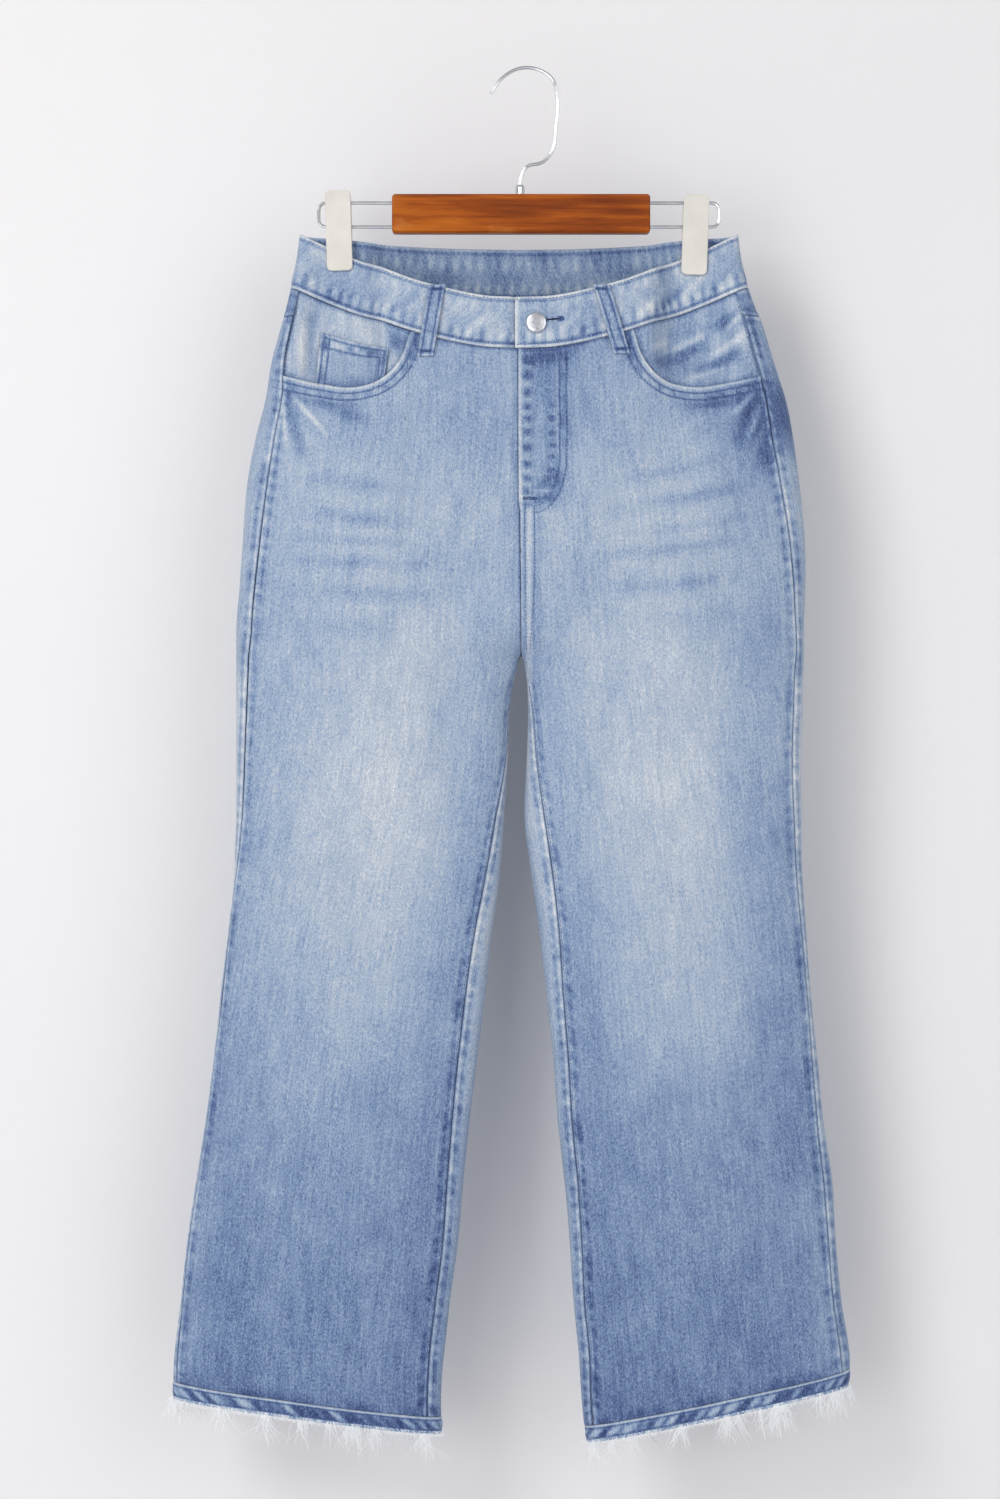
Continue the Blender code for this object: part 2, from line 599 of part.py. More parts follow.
def loop_push(v):
    """A belt loop lies close at its ends and stands off between them."""
    return SEAM_GAP + LOOP_CLOTH + LOOP_BULGE * np.sin(np.pi * v) ** 0.7


def build_belt_loops(collection, denim):
    """Two loops at the front and three at the back."""
    half = LOOP_WIDTH / 2
    loops = []
    for side in LEFT_RIGHT:
        top_x, low_x = FRONT_LOOPS[side]
        loops.append(("front_" + side, side, "front", top_x, low_x))
    for place, x in BACK_LOOPS.items():
        loops.append(("back_" + place, "left" if x < 0 else "right", "back", x, x))
    for name, side, face, top_x, low_x in loops:
        top = waist_top_z(np.array(top_x), face == "front") - 0.0005
        low = waist_seam_z(np.array(low_x), face == "front") - LOOP_BELOW_SEAM
        corners = ((top_x - half, top), (top_x + half, top),
                   (low_x + half, low), (low_x - half, low))
        outer, normal = patch(side, face, corners, (3, 8), loop_push)
        finish(wall(outer, outer - normal * LOOP_CLOTH), "belt_loop_" + name, collection, denim)


def ring_angles(side, edge_of, drop, count):
    """Angles and heights round a leg opening, drop below its hem line."""
    around = np.arange(count) / count
    z = np.full(count, edge_of(np.zeros(1), True)[0])
    start = np.zeros(count)
    for _ in range(12):
        angle = angles_between(side, start, start - 2 * math.pi, around, z)
        x = surface(side, angle, z)[..., 0]
        z = edge_of(x, True) - drop
    return angle, z


def build_hems(collection, hem_look, thread):
    """A hem band round each leg opening, and the fringe below it."""
    for side in LEFT_RIGHT:
        hem_of = hem_z(side, 0.0)
        rows = [ring_angles(side, hem_of, drop, 44) for drop in (0.0, HEM_BAND_HEIGHT)]
        angle = np.stack([row[0] for row in rows])
        z = np.stack([row[1] for row in rows])
        cloth("hem_" + side, side, angle, z, HEM_CLOTH, collection, hem_look, closed=True)
        build_fringe(side, hem_of, collection, thread)


def build_fringe(side, hem_of, collection, thread):
    """A narrow strip under the hem, with strands that grow from its lower side."""
    top = HEM_BAND_HEIGHT + SEAM_GAP
    drops = (top, top + FRINGE_STRIP)
    rows = [ring_angles(side, hem_of, drop, FRINGE_COLUMNS) for drop in drops]
    angle = np.stack([row[0] for row in rows])
    z = np.stack([row[1] for row in rows])
    outer = surface(side, angle, z) - outward(side, angle, z) * (HEM_CLOTH - FRINGE_STRIP) / 2
    inner = outer - outward(side, angle, z) * FRINGE_STRIP
    mesh = wall(outer, inner, closed=True)
    mesh.verts.index_update()
    under = [face for face in mesh.faces
             if all(vert.index // FRINGE_COLUMNS in (1, 3) for vert in face.verts)
             and len({vert.index // FRINGE_COLUMNS for vert in face.verts}) == 2]
    chance = np.random.default_rng(FRINGE_SEED[side])
    k = 0
    while k < len(under) - 1:
        grow_strand(mesh, under[k], chance)
        k += 2 if chance.random() < 0.62 else 3
    finish(mesh, "fringe_" + side, collection, thread)


def grow_strand(mesh, face, chance):
    """Extrude one face down twice, narrower and swayed to a side each time."""
    length = FRINGE_SHORTEST + (FRINGE_LONGEST - FRINGE_SHORTEST) * chance.random() ** 2.2
    for step, shrink in ((0.45, 0.60), (0.55, 0.45)):
        made = bmesh.ops.extrude_discrete_faces(mesh, faces=[face])["faces"][0]
        shift = Vector((chance.uniform(-1, 1) * FRINGE_SWAY * step,
                        chance.uniform(-1, 1) * FRINGE_SWAY * step, -length * step))
        middle = made.calc_center_median()
        for vert in made.verts:
            vert.co = middle + (vert.co - middle) * shrink + shift
        face = made


def build_button(collection, metal):
    """A turned button on the front of the band."""
    x, z = BUTTON_PLACE
    points, normal = on_face("right", "front", np.array([[x]]), np.array([[z]]), SEAM_GAP)
    profile = ((0.0, 1.0), (0.42, 0.98), (0.72, 0.88), (0.92, 0.72), (1.0, 0.46), (0.97, 0.20),
               (0.70, 0.08), (0.0, 0.0))
    data = bpy.data.meshes.new("button")
    verts = [(r * BUTTON_RADIUS, 0.0, h * BUTTON_HEIGHT) for r, h in profile]
    data.from_pydata(verts, [(i, i + 1) for i in range(len(verts) - 1)], [])
    obj = bpy.data.objects.new("button", data)
    collection.objects.link(obj)
    data.materials.append(metal)
    turn = obj.modifiers.new("turn", "SCREW")
    turn.steps = 20
    turn.render_steps = 20
    turn.use_merge_vertices = True
    turn.merge_threshold = 0.00001
    turn.use_smooth_shade = True
    obj.location = Vector(points[0, 0])
    obj.rotation_euler = Vector(normal[0, 0]).to_track_quat("Z", "Y").to_euler()


def rod(name, route, radius, collection, look):
    """A wire along a route of points."""
    data = bpy.data.curves.new(name, "CURVE")
    data.dimensions = "3D"
    data.bevel_depth = radius
    data.bevel_resolution = 2
    data.use_fill_caps = True
    spline = data.splines.new("POLY")
    spline.points.add(len(route) - 1)
    for point, place in zip(spline.points, route):
        point.co = (*place, 1)
    spline.use_smooth = True
    obj = bpy.data.objects.new(name, data)
    collection.objects.link(obj)
    data.materials.append(look)
    return obj


def smooth_route(points, count):
    """Read a smooth route through a few x, z points."""
    keys = np.array(points)
    legs = np.concatenate([[0], np.cumsum(np.linalg.norm(np.diff(keys, axis=0), axis=1))])
    at = np.linspace(0, legs[-1], count)
    return [(smooth(s, legs, keys[:, 0]), 0.0, smooth(s, legs, keys[:, 1])) for s in at]


def arm_route(sign):
    """A wire arm: out along the top, round the loop's end and back along the bottom."""
    start = BAR_CENTRE[0] + sign * (BAR_SIZE[0] / 2 + SEAM_GAP)
    route = [(start, 0.0, ARM_TOP_Z)]
    for centre_z, first in ((ARM_TOP_Z - ARM_CORNER, 90), (ARM_BOTTOM_Z + ARM_CORNER, 0)):
        for step in range(4):
            turn = math.radians(first - 30 * step)
            x = ARM_END_X - ARM_CORNER + ARM_CORNER * math.cos(turn)
            route.append((sign * x, 0.0, centre_z + ARM_CORNER * math.sin(turn)))
    route.append((start, 0.0, ARM_BOTTOM_Z))
    return route


def rounded_plate(name, size, corner, edge, collection, look):
    """A flat plate that faces front, with round corners and softened edges."""
    mesh = bmesh.new()
    bmesh.ops.create_cube(mesh, size=1, matrix=Matrix.Diagonal((*size, 1)))
    upright = [e for e in mesh.edges
               if abs((e.verts[0].co - e.verts[1].co).normalized().y) > 0.99]
    bmesh.ops.bevel(mesh, geom=upright, offset=corner, segments=3, affect="EDGES", profile=0.5)
    obj = finish(mesh, name, collection, look, 35)
    if edge:
        soft = obj.modifiers.new("edge", "BEVEL")
        soft.width = edge
        soft.segments = 1
        soft.limit_method = "ANGLE"
        soft.angle_limit = math.radians(50)
    return obj


def build_hanger(collection, wood, steel, cream):
    """Wooden bar, hook with its collar, two wire arms and two sliding clips."""
    bar = rounded_plate("hanger_bar", BAR_SIZE, 0.0030, 0.0014, collection, wood)
    bar.location = BAR_CENTRE
    top = BAR_CENTRE[2] + BAR_SIZE[2] / 2
    hook = [point for point in smooth_route(HOOK_ROUTE, 46) if point[2] > top + SEAM_GAP]
    hook.insert(0, (HOOK_ROUTE[0][0], 0.0, top + SEAM_GAP))
    rod("hanger_hook", hook, WIRE_RADIUS, collection, steel)
    build_collar(top, collection, steel)
    for side in LEFT_RIGHT:
        sign = -1 if side == "left" else 1
        rod("hanger_arm_" + side, arm_route(sign), WIRE_RADIUS, collection, steel)
        build_clip(side, collection, cream, steel)


def build_collar(top, collection, steel):
    """A turned ring where the hook enters the bar."""
    inner = WIRE_RADIUS + SEAM_GAP
    profile = ((inner, COLLAR_HEIGHT), (COLLAR_RADIUS * 0.8, COLLAR_HEIGHT),
               (COLLAR_RADIUS, COLLAR_HEIGHT * 0.75), (COLLAR_RADIUS, 0.0), (inner, 0.0))
    data = bpy.data.meshes.new("hook_collar")
    verts = [(r, 0.0, h) for r, h in profile]
    edges = [(i, (i + 1) % len(verts)) for i in range(len(verts))]
    data.from_pydata(verts, edges, [])
    obj = bpy.data.objects.new("hook_collar", data)
    collection.objects.link(obj)
    data.materials.append(steel)
    turn = obj.modifiers.new("turn", "SCREW")
    turn.steps = 16
    turn.render_steps = 16
    turn.use_merge_vertices = True
    turn.merge_threshold = 0.00001
    turn.use_smooth_shade = True
    obj.location = (HOOK_ROUTE[0][0], 0.0, top + SEAM_GAP)


def build_clip(side, collection, cream, steel):
    """Two plates that grip the band, and the block that slides between the arm's wires."""
    width, thick, height = CLIP_SIZE
    for face, sign, held in (("front", -1, PINCH_FRONT), ("back", 1, PINCH_BACK)):
        name = "clip_" + face + "_" + side
        plate = rounded_plate(name, CLIP_SIZE, CLIP_CORNER, 0.0005, collection, cream)
        y = sign * (held + CLIP_CLEAR + thick / 2)
        plate.location = (CLIP_X[side], y, CLIP_TOP_Z[side] - height / 2)
        plate.rotation_euler = (0, CLIP_TILT[side], 0)
    depth = PINCH_FRONT + PINCH_BACK + 2 * (CLIP_CLEAR - SEAM_GAP)
    clear = WIRE_RADIUS + SEAM_GAP
    tall = ARM_TOP_Z - ARM_BOTTOM_Z - 2 * clear
    block = rounded_plate("clip_slider_" + side, (SLIDER_WIDTH, depth, tall), 0.0015, 0,
                          collection, steel)
    block.location = (CLIP_X[side], (PINCH_BACK - PINCH_FRONT) / 2,
                      (ARM_TOP_Z + ARM_BOTTOM_Z) / 2)


def build():
    """Build the jeans and the hanger."""
    clear_scene()
    collection = bpy.data.collections.new("flare_jeans_on_clip_hanger")
    bpy.context.scene.collection.children.link(collection)
    denim = material("washed_denim", (0.33, 0.45, 0.62), 0.88)
    hem_look = material("hem_denim", (0.40, 0.50, 0.64), 0.90)
    thread = material("raw_thread", (0.78, 0.78, 0.76), 0.95)
    tape = material("zip_tape", (0.30, 0.36, 0.46), 0.85)
    button_metal = material("button_metal", (0.62, 0.60, 0.58), 0.35, 1.0)
    wood = material("hanger_wood", (0.42, 0.16, 0.05), 0.45)
    steel = material("hanger_steel", (0.62, 0.62, 0.63), 0.28, 1.0)
    cream = material("clip_cream", (0.80, 0.76, 0.68), 0.45)
    build_panels(collection, denim)
    build_waistband(collection, denim)
    build_pockets(collection, denim)
    build_fly(collection, denim, tape)
    build_belt_loops(collection, denim)
    build_hems(collection, hem_look, thread)
    build_button(collection, button_metal)
    build_hanger(collection, wood, steel, cream)


build()
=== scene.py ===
"""The looks of the flared jeans on a clip hanger: washed denim shells, sewing, frayed
hems, and the wood, steel and plastic of the hanger. Metres, front towards -Y. Left and
right are the viewer's.
"""

import math
from functools import partial

import bmesh
import bpy
import numpy as np
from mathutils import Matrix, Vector
from mathutils.bvhtree import BVHTree


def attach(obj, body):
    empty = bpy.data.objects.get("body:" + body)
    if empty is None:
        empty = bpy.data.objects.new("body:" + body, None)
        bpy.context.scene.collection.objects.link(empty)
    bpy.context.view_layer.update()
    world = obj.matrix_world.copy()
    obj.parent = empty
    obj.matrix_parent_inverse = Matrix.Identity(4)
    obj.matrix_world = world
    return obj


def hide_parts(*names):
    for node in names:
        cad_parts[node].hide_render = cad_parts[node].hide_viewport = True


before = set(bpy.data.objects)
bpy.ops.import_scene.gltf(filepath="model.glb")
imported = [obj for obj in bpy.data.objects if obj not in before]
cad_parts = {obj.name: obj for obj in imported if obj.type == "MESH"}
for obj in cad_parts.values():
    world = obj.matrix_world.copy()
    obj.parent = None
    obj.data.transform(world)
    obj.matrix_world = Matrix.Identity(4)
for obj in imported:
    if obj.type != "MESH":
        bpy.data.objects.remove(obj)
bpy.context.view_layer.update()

LEFT_RIGHT = ("left", "right")
SIGN = {"left": -1, "right": 1}

# The garment's surface, from the same sizes as the solids
SEAM_GAP = 0.0003
ROUNDNESS = 2.6
CROTCH_Z = -0.505
HEM_LINE = {"left": (-1.1265, -1.1570), "right": (-1.1165, -1.1645)}
HEM_REACH = {"left": (-0.2975, -0.0660), "right": (0.2830, 0.0560)}
SECTION_COLUMNS = ("z", "left_out", "left_in", "right_in", "right_out", "front", "back",
                   "left_side", "right_side", "left_inseam", "right_inseam")
SECTIONS = (
    (-1.190, -0.2985, -0.0655, 0.0590, 0.2830, 0.0220, 0.0210, 0.0040, 0.0030, 0.0120, 0.0060),
    (-1.135, -0.2976, -0.0662, 0.0533, 0.2835, 0.0225, 0.0215, 0.0045, 0.0050, 0.0120, 0.0080),
    (-1.109, -0.2967, -0.0645, 0.0516, 0.2847, 0.0225, 0.0215, 0.0034, 0.0085, 0.0125, 0.0090),
    (-1.058, -0.2907, -0.0585, 0.0464, 0.2778, 0.0230, 0.0220, 0.0022, 0.0086, 0.0130, 0.0095),
    (-1.006, -0.2847, -0.0516, 0.0430, 0.2726, 0.0235, 0.0225, 0.0020, 0.0075, 0.0135, 0.0105),
    (-0.955, -0.2778, -0.0473, 0.0387, 0.2692, 0.0240, 0.0230, 0.0021, 0.0085, 0.0140, 0.0115),
    (-0.903, -0.2700, -0.0421, 0.0327, 0.2614, 0.0245, 0.0235, 0.0020, 0.0062, 0.0150, 0.0125),
    (-0.851, -0.2632, -0.0361, 0.0292, 0.2571, 0.0255, 0.0245, 0.0016, 0.0060, 0.0160, 0.0130),
    (-0.800, -0.2571, -0.0301, 0.0241, 0.2520, 0.0265, 0.0255, 0.0018, 0.0045, 0.0163, 0.0140),
    (-0.748, -0.2511, -0.0241, 0.0181, 0.2477, 0.0275, 0.0265, 0.0012, 0.0048, 0.0150, 0.0165),
    (-0.697, -0.2460, -0.0172, 0.0112, 0.2442, 0.0285, 0.0275, 0.0022, 0.0060, 0.0120, 0.0182),
    (-0.645, -0.2434, -0.0129, 0.0043, 0.2434, 0.0300, 0.0290, 0.0060, 0.0078, 0.0070, 0.0175),
    (-0.593, -0.2425, -0.0095, 0.0060, 0.2425, 0.0315, 0.0305, 0.0078, 0.0088, 0.0012, 0.0085),
    (-0.542, -0.2425, -0.0072, 0.0072, 0.2442, 0.0330, 0.0325, 0.0100, 0.0093, 0.0004, 0.0025),
    (-0.515, -0.2425, -0.0016, 0.0050, 0.2448, 0.0345, 0.0350, 0.0112, 0.0090, 0.0002, 0.0002),
    (-0.505, -0.2425, 0.0017, 0.0017, 0.2451, 0.0350, 0.0360, 0.0116, 0.0084, 0.0002, 0.0002),
    (-0.500, -0.2425, 0.0097, -0.0063, 0.2451, 0.0352, 0.0364, 0.0122, 0.0080, 0.0002, 0.0002),
    (-0.495, -0.2425, 0.0207, -0.0173, 0.2451, 0.0354, 0.0368, 0.0128, 0.0080, 0.0002, 0.0002),
    (-0.485, -0.2425, 0.0497, -0.0463, 0.2451, 0.0357, 0.0374, 0.0140, 0.0082, 0.0002, 0.0002),
    (-0.470, -0.2420, 0.1070, -0.1036, 0.2453, 0.0360, 0.0380, 0.0142, 0.0090, 0.0002, 0.0002),
    (-0.450, -0.2400, 0.1800, -0.1766, 0.2460, 0.0361, 0.0385, 0.0138, 0.0105, 0.0002, 0.0002),
    (-0.415, -0.2378, 0.2378, -0.2460, 0.2460, 0.0362, 0.0388, 0.0155, 0.0135, 0.0002, 0.0002),
    (-0.353, -0.2331, 0.2331, -0.2408, 0.2408, 0.0358, 0.0385, 0.0188, 0.0182, 0.0002, 0.0002),
    (-0.318, -0.2270, 0.2270, -0.2356, 0.2356, 0.0350, 0.0370, 0.0182, 0.0195, 0.0002, 0.0002),
    (-0.284, -0.2184, 0.2184, -0.2290, 0.2290, 0.0338, 0.0345, 0.0158, 0.0182, 0.0002, 0.0002),
    (-0.249, -0.2125, 0.2125, -0.2180, 0.2180, 0.0320, 0.0305, 0.0118, 0.0160, 0.0002, 0.0002),
    (-0.215, -0.2030, 0.2030, -0.2075, 0.2075, 0.0300, 0.0255, 0.0092, 0.0150, 0.0002, 0.0002),
    (-0.198, -0.1985, 0.1985, -0.2005, 0.2005, 0.0290, 0.0230, 0.0085, 0.0130, 0.0002, 0.0002),
    (-0.181, -0.1950, 0.1950, -0.1955, 0.1955, 0.0280, 0.0205, 0.0080, 0.0110, 0.0002, 0.0002),
    (-0.163, -0.1912, 0.1912, -0.1912, 0.1912, 0.0270, 0.0185, 0.0075, 0.0090, 0.0002, 0.0002),
    (-0.135, -0.1880, 0.1880, -0.1880, 0.1880, 0.0260, 0.0170, 0.0070, 0.0080, 0.0002, 0.0002),
)

# The centre seam leans a little towards the crotch
CENTRE_COLUMNS = ("z", "x")
CENTRE = ((-0.505, 0.0017), (-0.430, 0.0009), (-0.350, 0.0000), (-0.140, 0.0000))

# Edges that cross the front, by distance from the centre line
WAIST_TOP_COLUMNS = ("x", "z")
WAIST_TOP = ((0.0, -0.1995), (0.03, -0.1980), (0.06, -0.1920), (0.09, -0.1838),
             (0.12, -0.1722), (0.15, -0.1597), (0.19, -0.1415))
WAIST_SEAM_COLUMNS = ("x", "z")
WAIST_SEAM = ((0.0, -0.2434), (0.03, -0.2420), (0.06, -0.2366), (0.09, -0.2285),
              (0.12, -0.2180), (0.15, -0.2068), (0.18, -0.1945), (0.20, -0.1868))
POCKET_EDGE_COLUMNS = ("x", "z")
POCKET_EDGE = ((0.0955, -0.2285), (0.0990, -0.2417), (0.1036, -0.2520), (0.1114, -0.2623),
               (0.1217, -0.2699), (0.1360, -0.2744), (0.1527, -0.2755), (0.1700, -0.2727),
               (0.1870, -0.2696), (0.2150, -0.2620))
POCKET_SHIFT = 0.0026

# Edges that cross the back
BACK_TOP_CENTRE = -0.1520
BACK_SEAM_CENTRE = -0.1970
BACK_RISE = 0.0100
BACK_RISE_AT = 0.197
YOKE_CENTRE = -0.2620
YOKE_SIDE = -0.2130
YOKE_SIDE_AT = 0.2035

# Pinch of the waist between the clip plates
CLIP_X = {"left": -0.1546, "right": 0.1512}
PINCH_HALF = 0.0310
PINCH_FRONT = 0.0054
PINCH_BACK = 0.0034
PINCH_HOLD_Z = -0.2350
PINCH_END_Z = -0.3000

# Largest soft folds: face, x and z of the start and the end, half width and height. A ridge
# stands out from the cloth and a trough sinks in
FOLDS = (
    ("front", -0.150, -0.285, -0.120, -0.640, 0.034, 0.0034),
    ("front", 0.150, -0.285, 0.135, -0.600, 0.034, 0.0034),
    ("front", -0.060, -0.400, -0.052, -0.760, 0.026, -0.0030),
    ("front", 0.062, -0.420, 0.075, -0.800, 0.026, -0.0030),
    ("front", -0.200, -0.560, -0.222, -0.980, 0.024, -0.0026),
    ("front", 0.195, -0.600, 0.226, -1.060, 0.024, -0.0026),
    ("front", -0.120, -0.820, -0.170, -1.190, 0.036, 0.0030),
    ("front", 0.120, -0.840, 0.160, -1.190, 0.036, 0.0030),
    ("back", -0.120, -0.300, -0.130, -0.700, 0.040, 0.0034),
    ("back", 0.125, -0.320, 0.120, -0.680, 0.040, 0.0034),
    ("back", -0.070, -0.520, -0.100, -0.860, 0.028, -0.0030),
    ("back", 0.075, -0.500, 0.095, -0.900, 0.028, -0.0030),
    ("back", -0.170, -0.820, -0.210, -1.190, 0.034, 0.0030),
    ("back", 0.160, -0.800, 0.200, -1.190, 0.034, 0.0030),
)

# Gap between the waistband and the panels under it, and thicknesses of the panels' shells,
# of the cloth at the pocket openings and of the back pockets
WAIST_GAP = 0.0006
SHELL = 0.0013
BEARER_SHELL = 0.0010
POCKET_SHELL = 0.0011

# Coin pocket: its corners in x, z, from the upper outer one round to the lower outer one
COIN_CORNERS = np.array(((-0.1694, -0.2262), (-0.1118, -0.2434), (-0.1178, -0.2850), (-0.1754, -0.2850)))

# Belt loops: name, side, face, and x of the upper and the lower end
LOOPS = (("front_left", "left", "front", -0.0697, -0.0796),
         ("front_right", "right", "front", 0.0701, 0.0869),
         ("back_left", "left", "back", -0.105, -0.105),
         ("back_centre", "right", "back", 0.0, 0.0),
         ("back_right", "right", "back", 0.105, 0.105))


def unit(value):
    """Hold values between 0 and 1."""
    return np.clip(value, 0, 1)


def column(rows, names, wanted):
    """Return one named column of a table."""
    return np.array([row[names.index(wanted)] for row in rows], dtype=float)


def smooth(x, xs, ys):
    """Read a smooth curve through the points xs, ys, held level past its ends."""
    slopes = np.gradient(ys, xs)
    x = np.clip(x, xs[0], xs[-1])
    i = np.clip(np.searchsorted(xs, x) - 1, 0, len(xs) - 2)
    step = xs[i + 1] - xs[i]
    t = (x - xs[i]) / step
    rise = t * t * (3 - 2 * t)
    bend = t * (1 - t) * ((1 - t) * slopes[i] - t * slopes[i + 1]) * step
    return ys[i] * (1 - rise) + ys[i + 1] * rise + bend


def section(z, wanted):
    """One column of SECTIONS at the heights z."""
    return smooth(z, column(SECTIONS, SECTION_COLUMNS, "z"),
                  column(SECTIONS, SECTION_COLUMNS, wanted))


def centre_x(z):
    """The centre seam's x at the heights z."""
    return smooth(z, column(CENTRE, CENTRE_COLUMNS, "z"), column(CENTRE, CENTRE_COLUMNS, "x"))


def across(x, rows, names):
    """The height of an edge of the front, at x on either side."""
    return smooth(np.abs(x), column(rows, names, "x"), column(rows, names, "z"))


def fade(value, start, end):
    """Ease from 1 at start to 0 at end."""
    t = unit((value - start) / (end - start))
    return 1 - t * t * (3 - 2 * t)


def fold_height(x, z, face):
    """Sum of the soft folds of one face at x, z."""
    total = np.zeros(np.broadcast(x, z).shape)
    for place, x0, z0, x1, z1, half_width, height in FOLDS:
        if place == face:
            total += height * stroke(x, z, (x0, z0), (x1, z1), half_width, 0.8)
    return total


def spread(side, z):
    """Centre and signed half width of one leg's section."""
    outer = section(z, side + "_out")
    inner = section(z, side + "_in")
    return (outer + inner) / 2, (inner - outer) / 2


def surface(side, angle, z):
    """Points of the cloth's outer face.

    The angle is 0 at the outer edge, rises over the front and falls over the back.
    """
    middle, half = spread(side, z)
    power = 2 / ROUNDNESS
    cosine = np.cos(angle)
    sine = np.sin(angle)
    x = middle - half * np.sign(cosine) * np.abs(cosine) ** power
    swell = np.abs(sine) ** power
    front = sine > 0
    depth = np.where(front, section(z, "front"), section(z, "back")) * swell
    folds = np.where(front, fold_height(x, z, "front"), fold_height(x, z, "back"))
    depth += folds * swell
    held = np.where(front, PINCH_FRONT, PINCH_BACK)
    from_clip = x - np.where(x < 0, CLIP_X["left"], CLIP_X["right"])
    near = np.exp(-(from_clip / PINCH_HALF) ** 4)
    pinch = near * fade(z, PINCH_HOLD_Z, PINCH_END_Z)
    depth -= np.maximum(depth - held, 0) * pinch
    return np.stack([x, np.where(front, -depth, depth), z + 0 * x], axis=-1)


def outward(side, angle, z):
    """Unit normals of the cloth's outer face."""
    turn = 0.002
    rise = 0.0005
    along = surface(side, angle + turn, z) - surface(side, angle - turn, z)
    up = surface(side, angle, z + rise) - surface(side, angle, z - rise)
    normal = np.cross(along, up)
    normal /= np.linalg.norm(normal, axis=-1, keepdims=True)
    return normal if side == "left" else -normal


def angle_of_reach(reach):
    """Angle on the front where the section reaches this share of its half width."""
    reach = np.clip(reach, -1, 1)
    return np.arccos(np.sign(reach) * np.abs(reach) ** (ROUNDNESS / 2))


def angle_at_x(side, x, z):
    """Angle on the front where one leg's section crosses x."""
    middle, half = spread(side, z)
    return angle_of_reach((middle - x) / half)


def side_seam(side, z):
    """Angle of the side seam, which lies on the front."""
    half = np.abs(spread(side, z)[1])
    return angle_of_reach(1 - section(z, side + "_side") / half)


def centre_cut(side, z):
    """Angle where the front of one leg meets the centre seam."""
    lean = -SEAM_GAP / 2 if side == "left" else SEAM_GAP / 2
    return angle_at_x(side, centre_x(z) + lean, z)


def inseam(side, z):
    """Angle where a front panel ends: the centre seam, or the inseam below the crotch."""
    half = np.abs(spread(side, z)[1])
    below = math.pi - angle_of_reach(1 - section(z, side + "_inseam") / half)
    return np.minimum(below, centre_cut(side, z))


def back_end(side, z):
    """Angle where a back panel ends, having gone round the back."""
    return np.where(z > CROTCH_Z, -centre_cut(side, z), inseam(side, z) - 2 * math.pi)


def waist_seam_z(x, front):
    """Height of the seam under the waistband."""
    back = BACK_SEAM_CENTRE + BACK_RISE * (x / BACK_RISE_AT) ** 2
    return np.where(front, across(x, WAIST_SEAM, WAIST_SEAM_COLUMNS), back)


def waist_top_z(x, front):
    """Height of the waistband's upper edge."""
    back = BACK_TOP_CENTRE + BACK_RISE * (x / BACK_RISE_AT) ** 2
    return np.where(front, across(x, WAIST_TOP, WAIST_TOP_COLUMNS), back)


def yoke_seam_z(x, front):
    """Height of the yoke seam, a shallow V on the back."""
    rise = (YOKE_SIDE - YOKE_CENTRE) * unit(np.abs(x) / YOKE_SIDE_AT)
    return np.where(front, YOKE_SIDE, YOKE_CENTRE + rise)


def pocket_edge_z(x):
    """Height of the scooped pocket edge."""
    return across(x - POCKET_SHIFT, POCKET_EDGE, POCKET_EDGE_COLUMNS)


def front_top_z(x, front):
    """Upper edge of a front panel: the waist seam, then the scooped pocket edge."""
    inside = waist_seam_z(x, True) - WAIST_GAP
    scoop = np.minimum(pocket_edge_z(x), inside)
    return np.where(np.abs(x - POCKET_SHIFT) < POCKET_EDGE[0][0], inside, scoop)


def hem_z(side, drop):
    """Height of the hem line, lowered by drop."""
    (outer_z, inner_z), (outer_x, inner_x) = HEM_LINE[side], HEM_REACH[side]

    def bottom(x, front):
        return outer_z + (inner_z - outer_z) * (x - outer_x) / (inner_x - outer_x) - drop
    return bottom


class Strip:
    """Angles on the surface at a height and a share of the way between two seams."""

    def __init__(self, side, start_of, end_of, low, high):
        self.heights = np.linspace(low, high, 420)
        self.shares = np.linspace(0, 1, 240)
        start = start_of(self.heights)
        end = end_of(self.heights)
        steps = np.linspace(0, 1, 161)
        fan = start[:, None] + (end - start)[:, None] * steps
        points = surface(side, fan, self.heights[:, None] + 0 * steps)[..., :2]
        length = np.linalg.norm(np.diff(points, axis=1), axis=-1)
        way = np.concatenate([np.zeros((len(fan), 1)), np.cumsum(length, axis=1)], axis=1)
        goal = SEAM_GAP / 2 + self.shares[None] * (way[:, -1:] - SEAM_GAP)
        self.table = np.stack([np.interp(g, w, f) for g, w, f in zip(goal, way, fan)])

    def angle(self, z, share):
        """Bilinear reading of the table."""
        rows = (z - self.heights[0]) / (self.heights[1] - self.heights[0])
        cols = share * (len(self.shares) - 1)
        i = np.clip(rows.astype(int), 0, len(self.heights) - 2)
        j = np.clip(cols.astype(int), 0, len(self.shares) - 2)
        u = unit(rows - i)
        v = unit(cols - j)
        t = self.table
        near = t[i, j] * (1 - v) + t[i, j + 1] * v
        far = t[i + 1, j] * (1 - v) + t[i + 1, j + 1] * v
        return near * (1 - u) + far * u


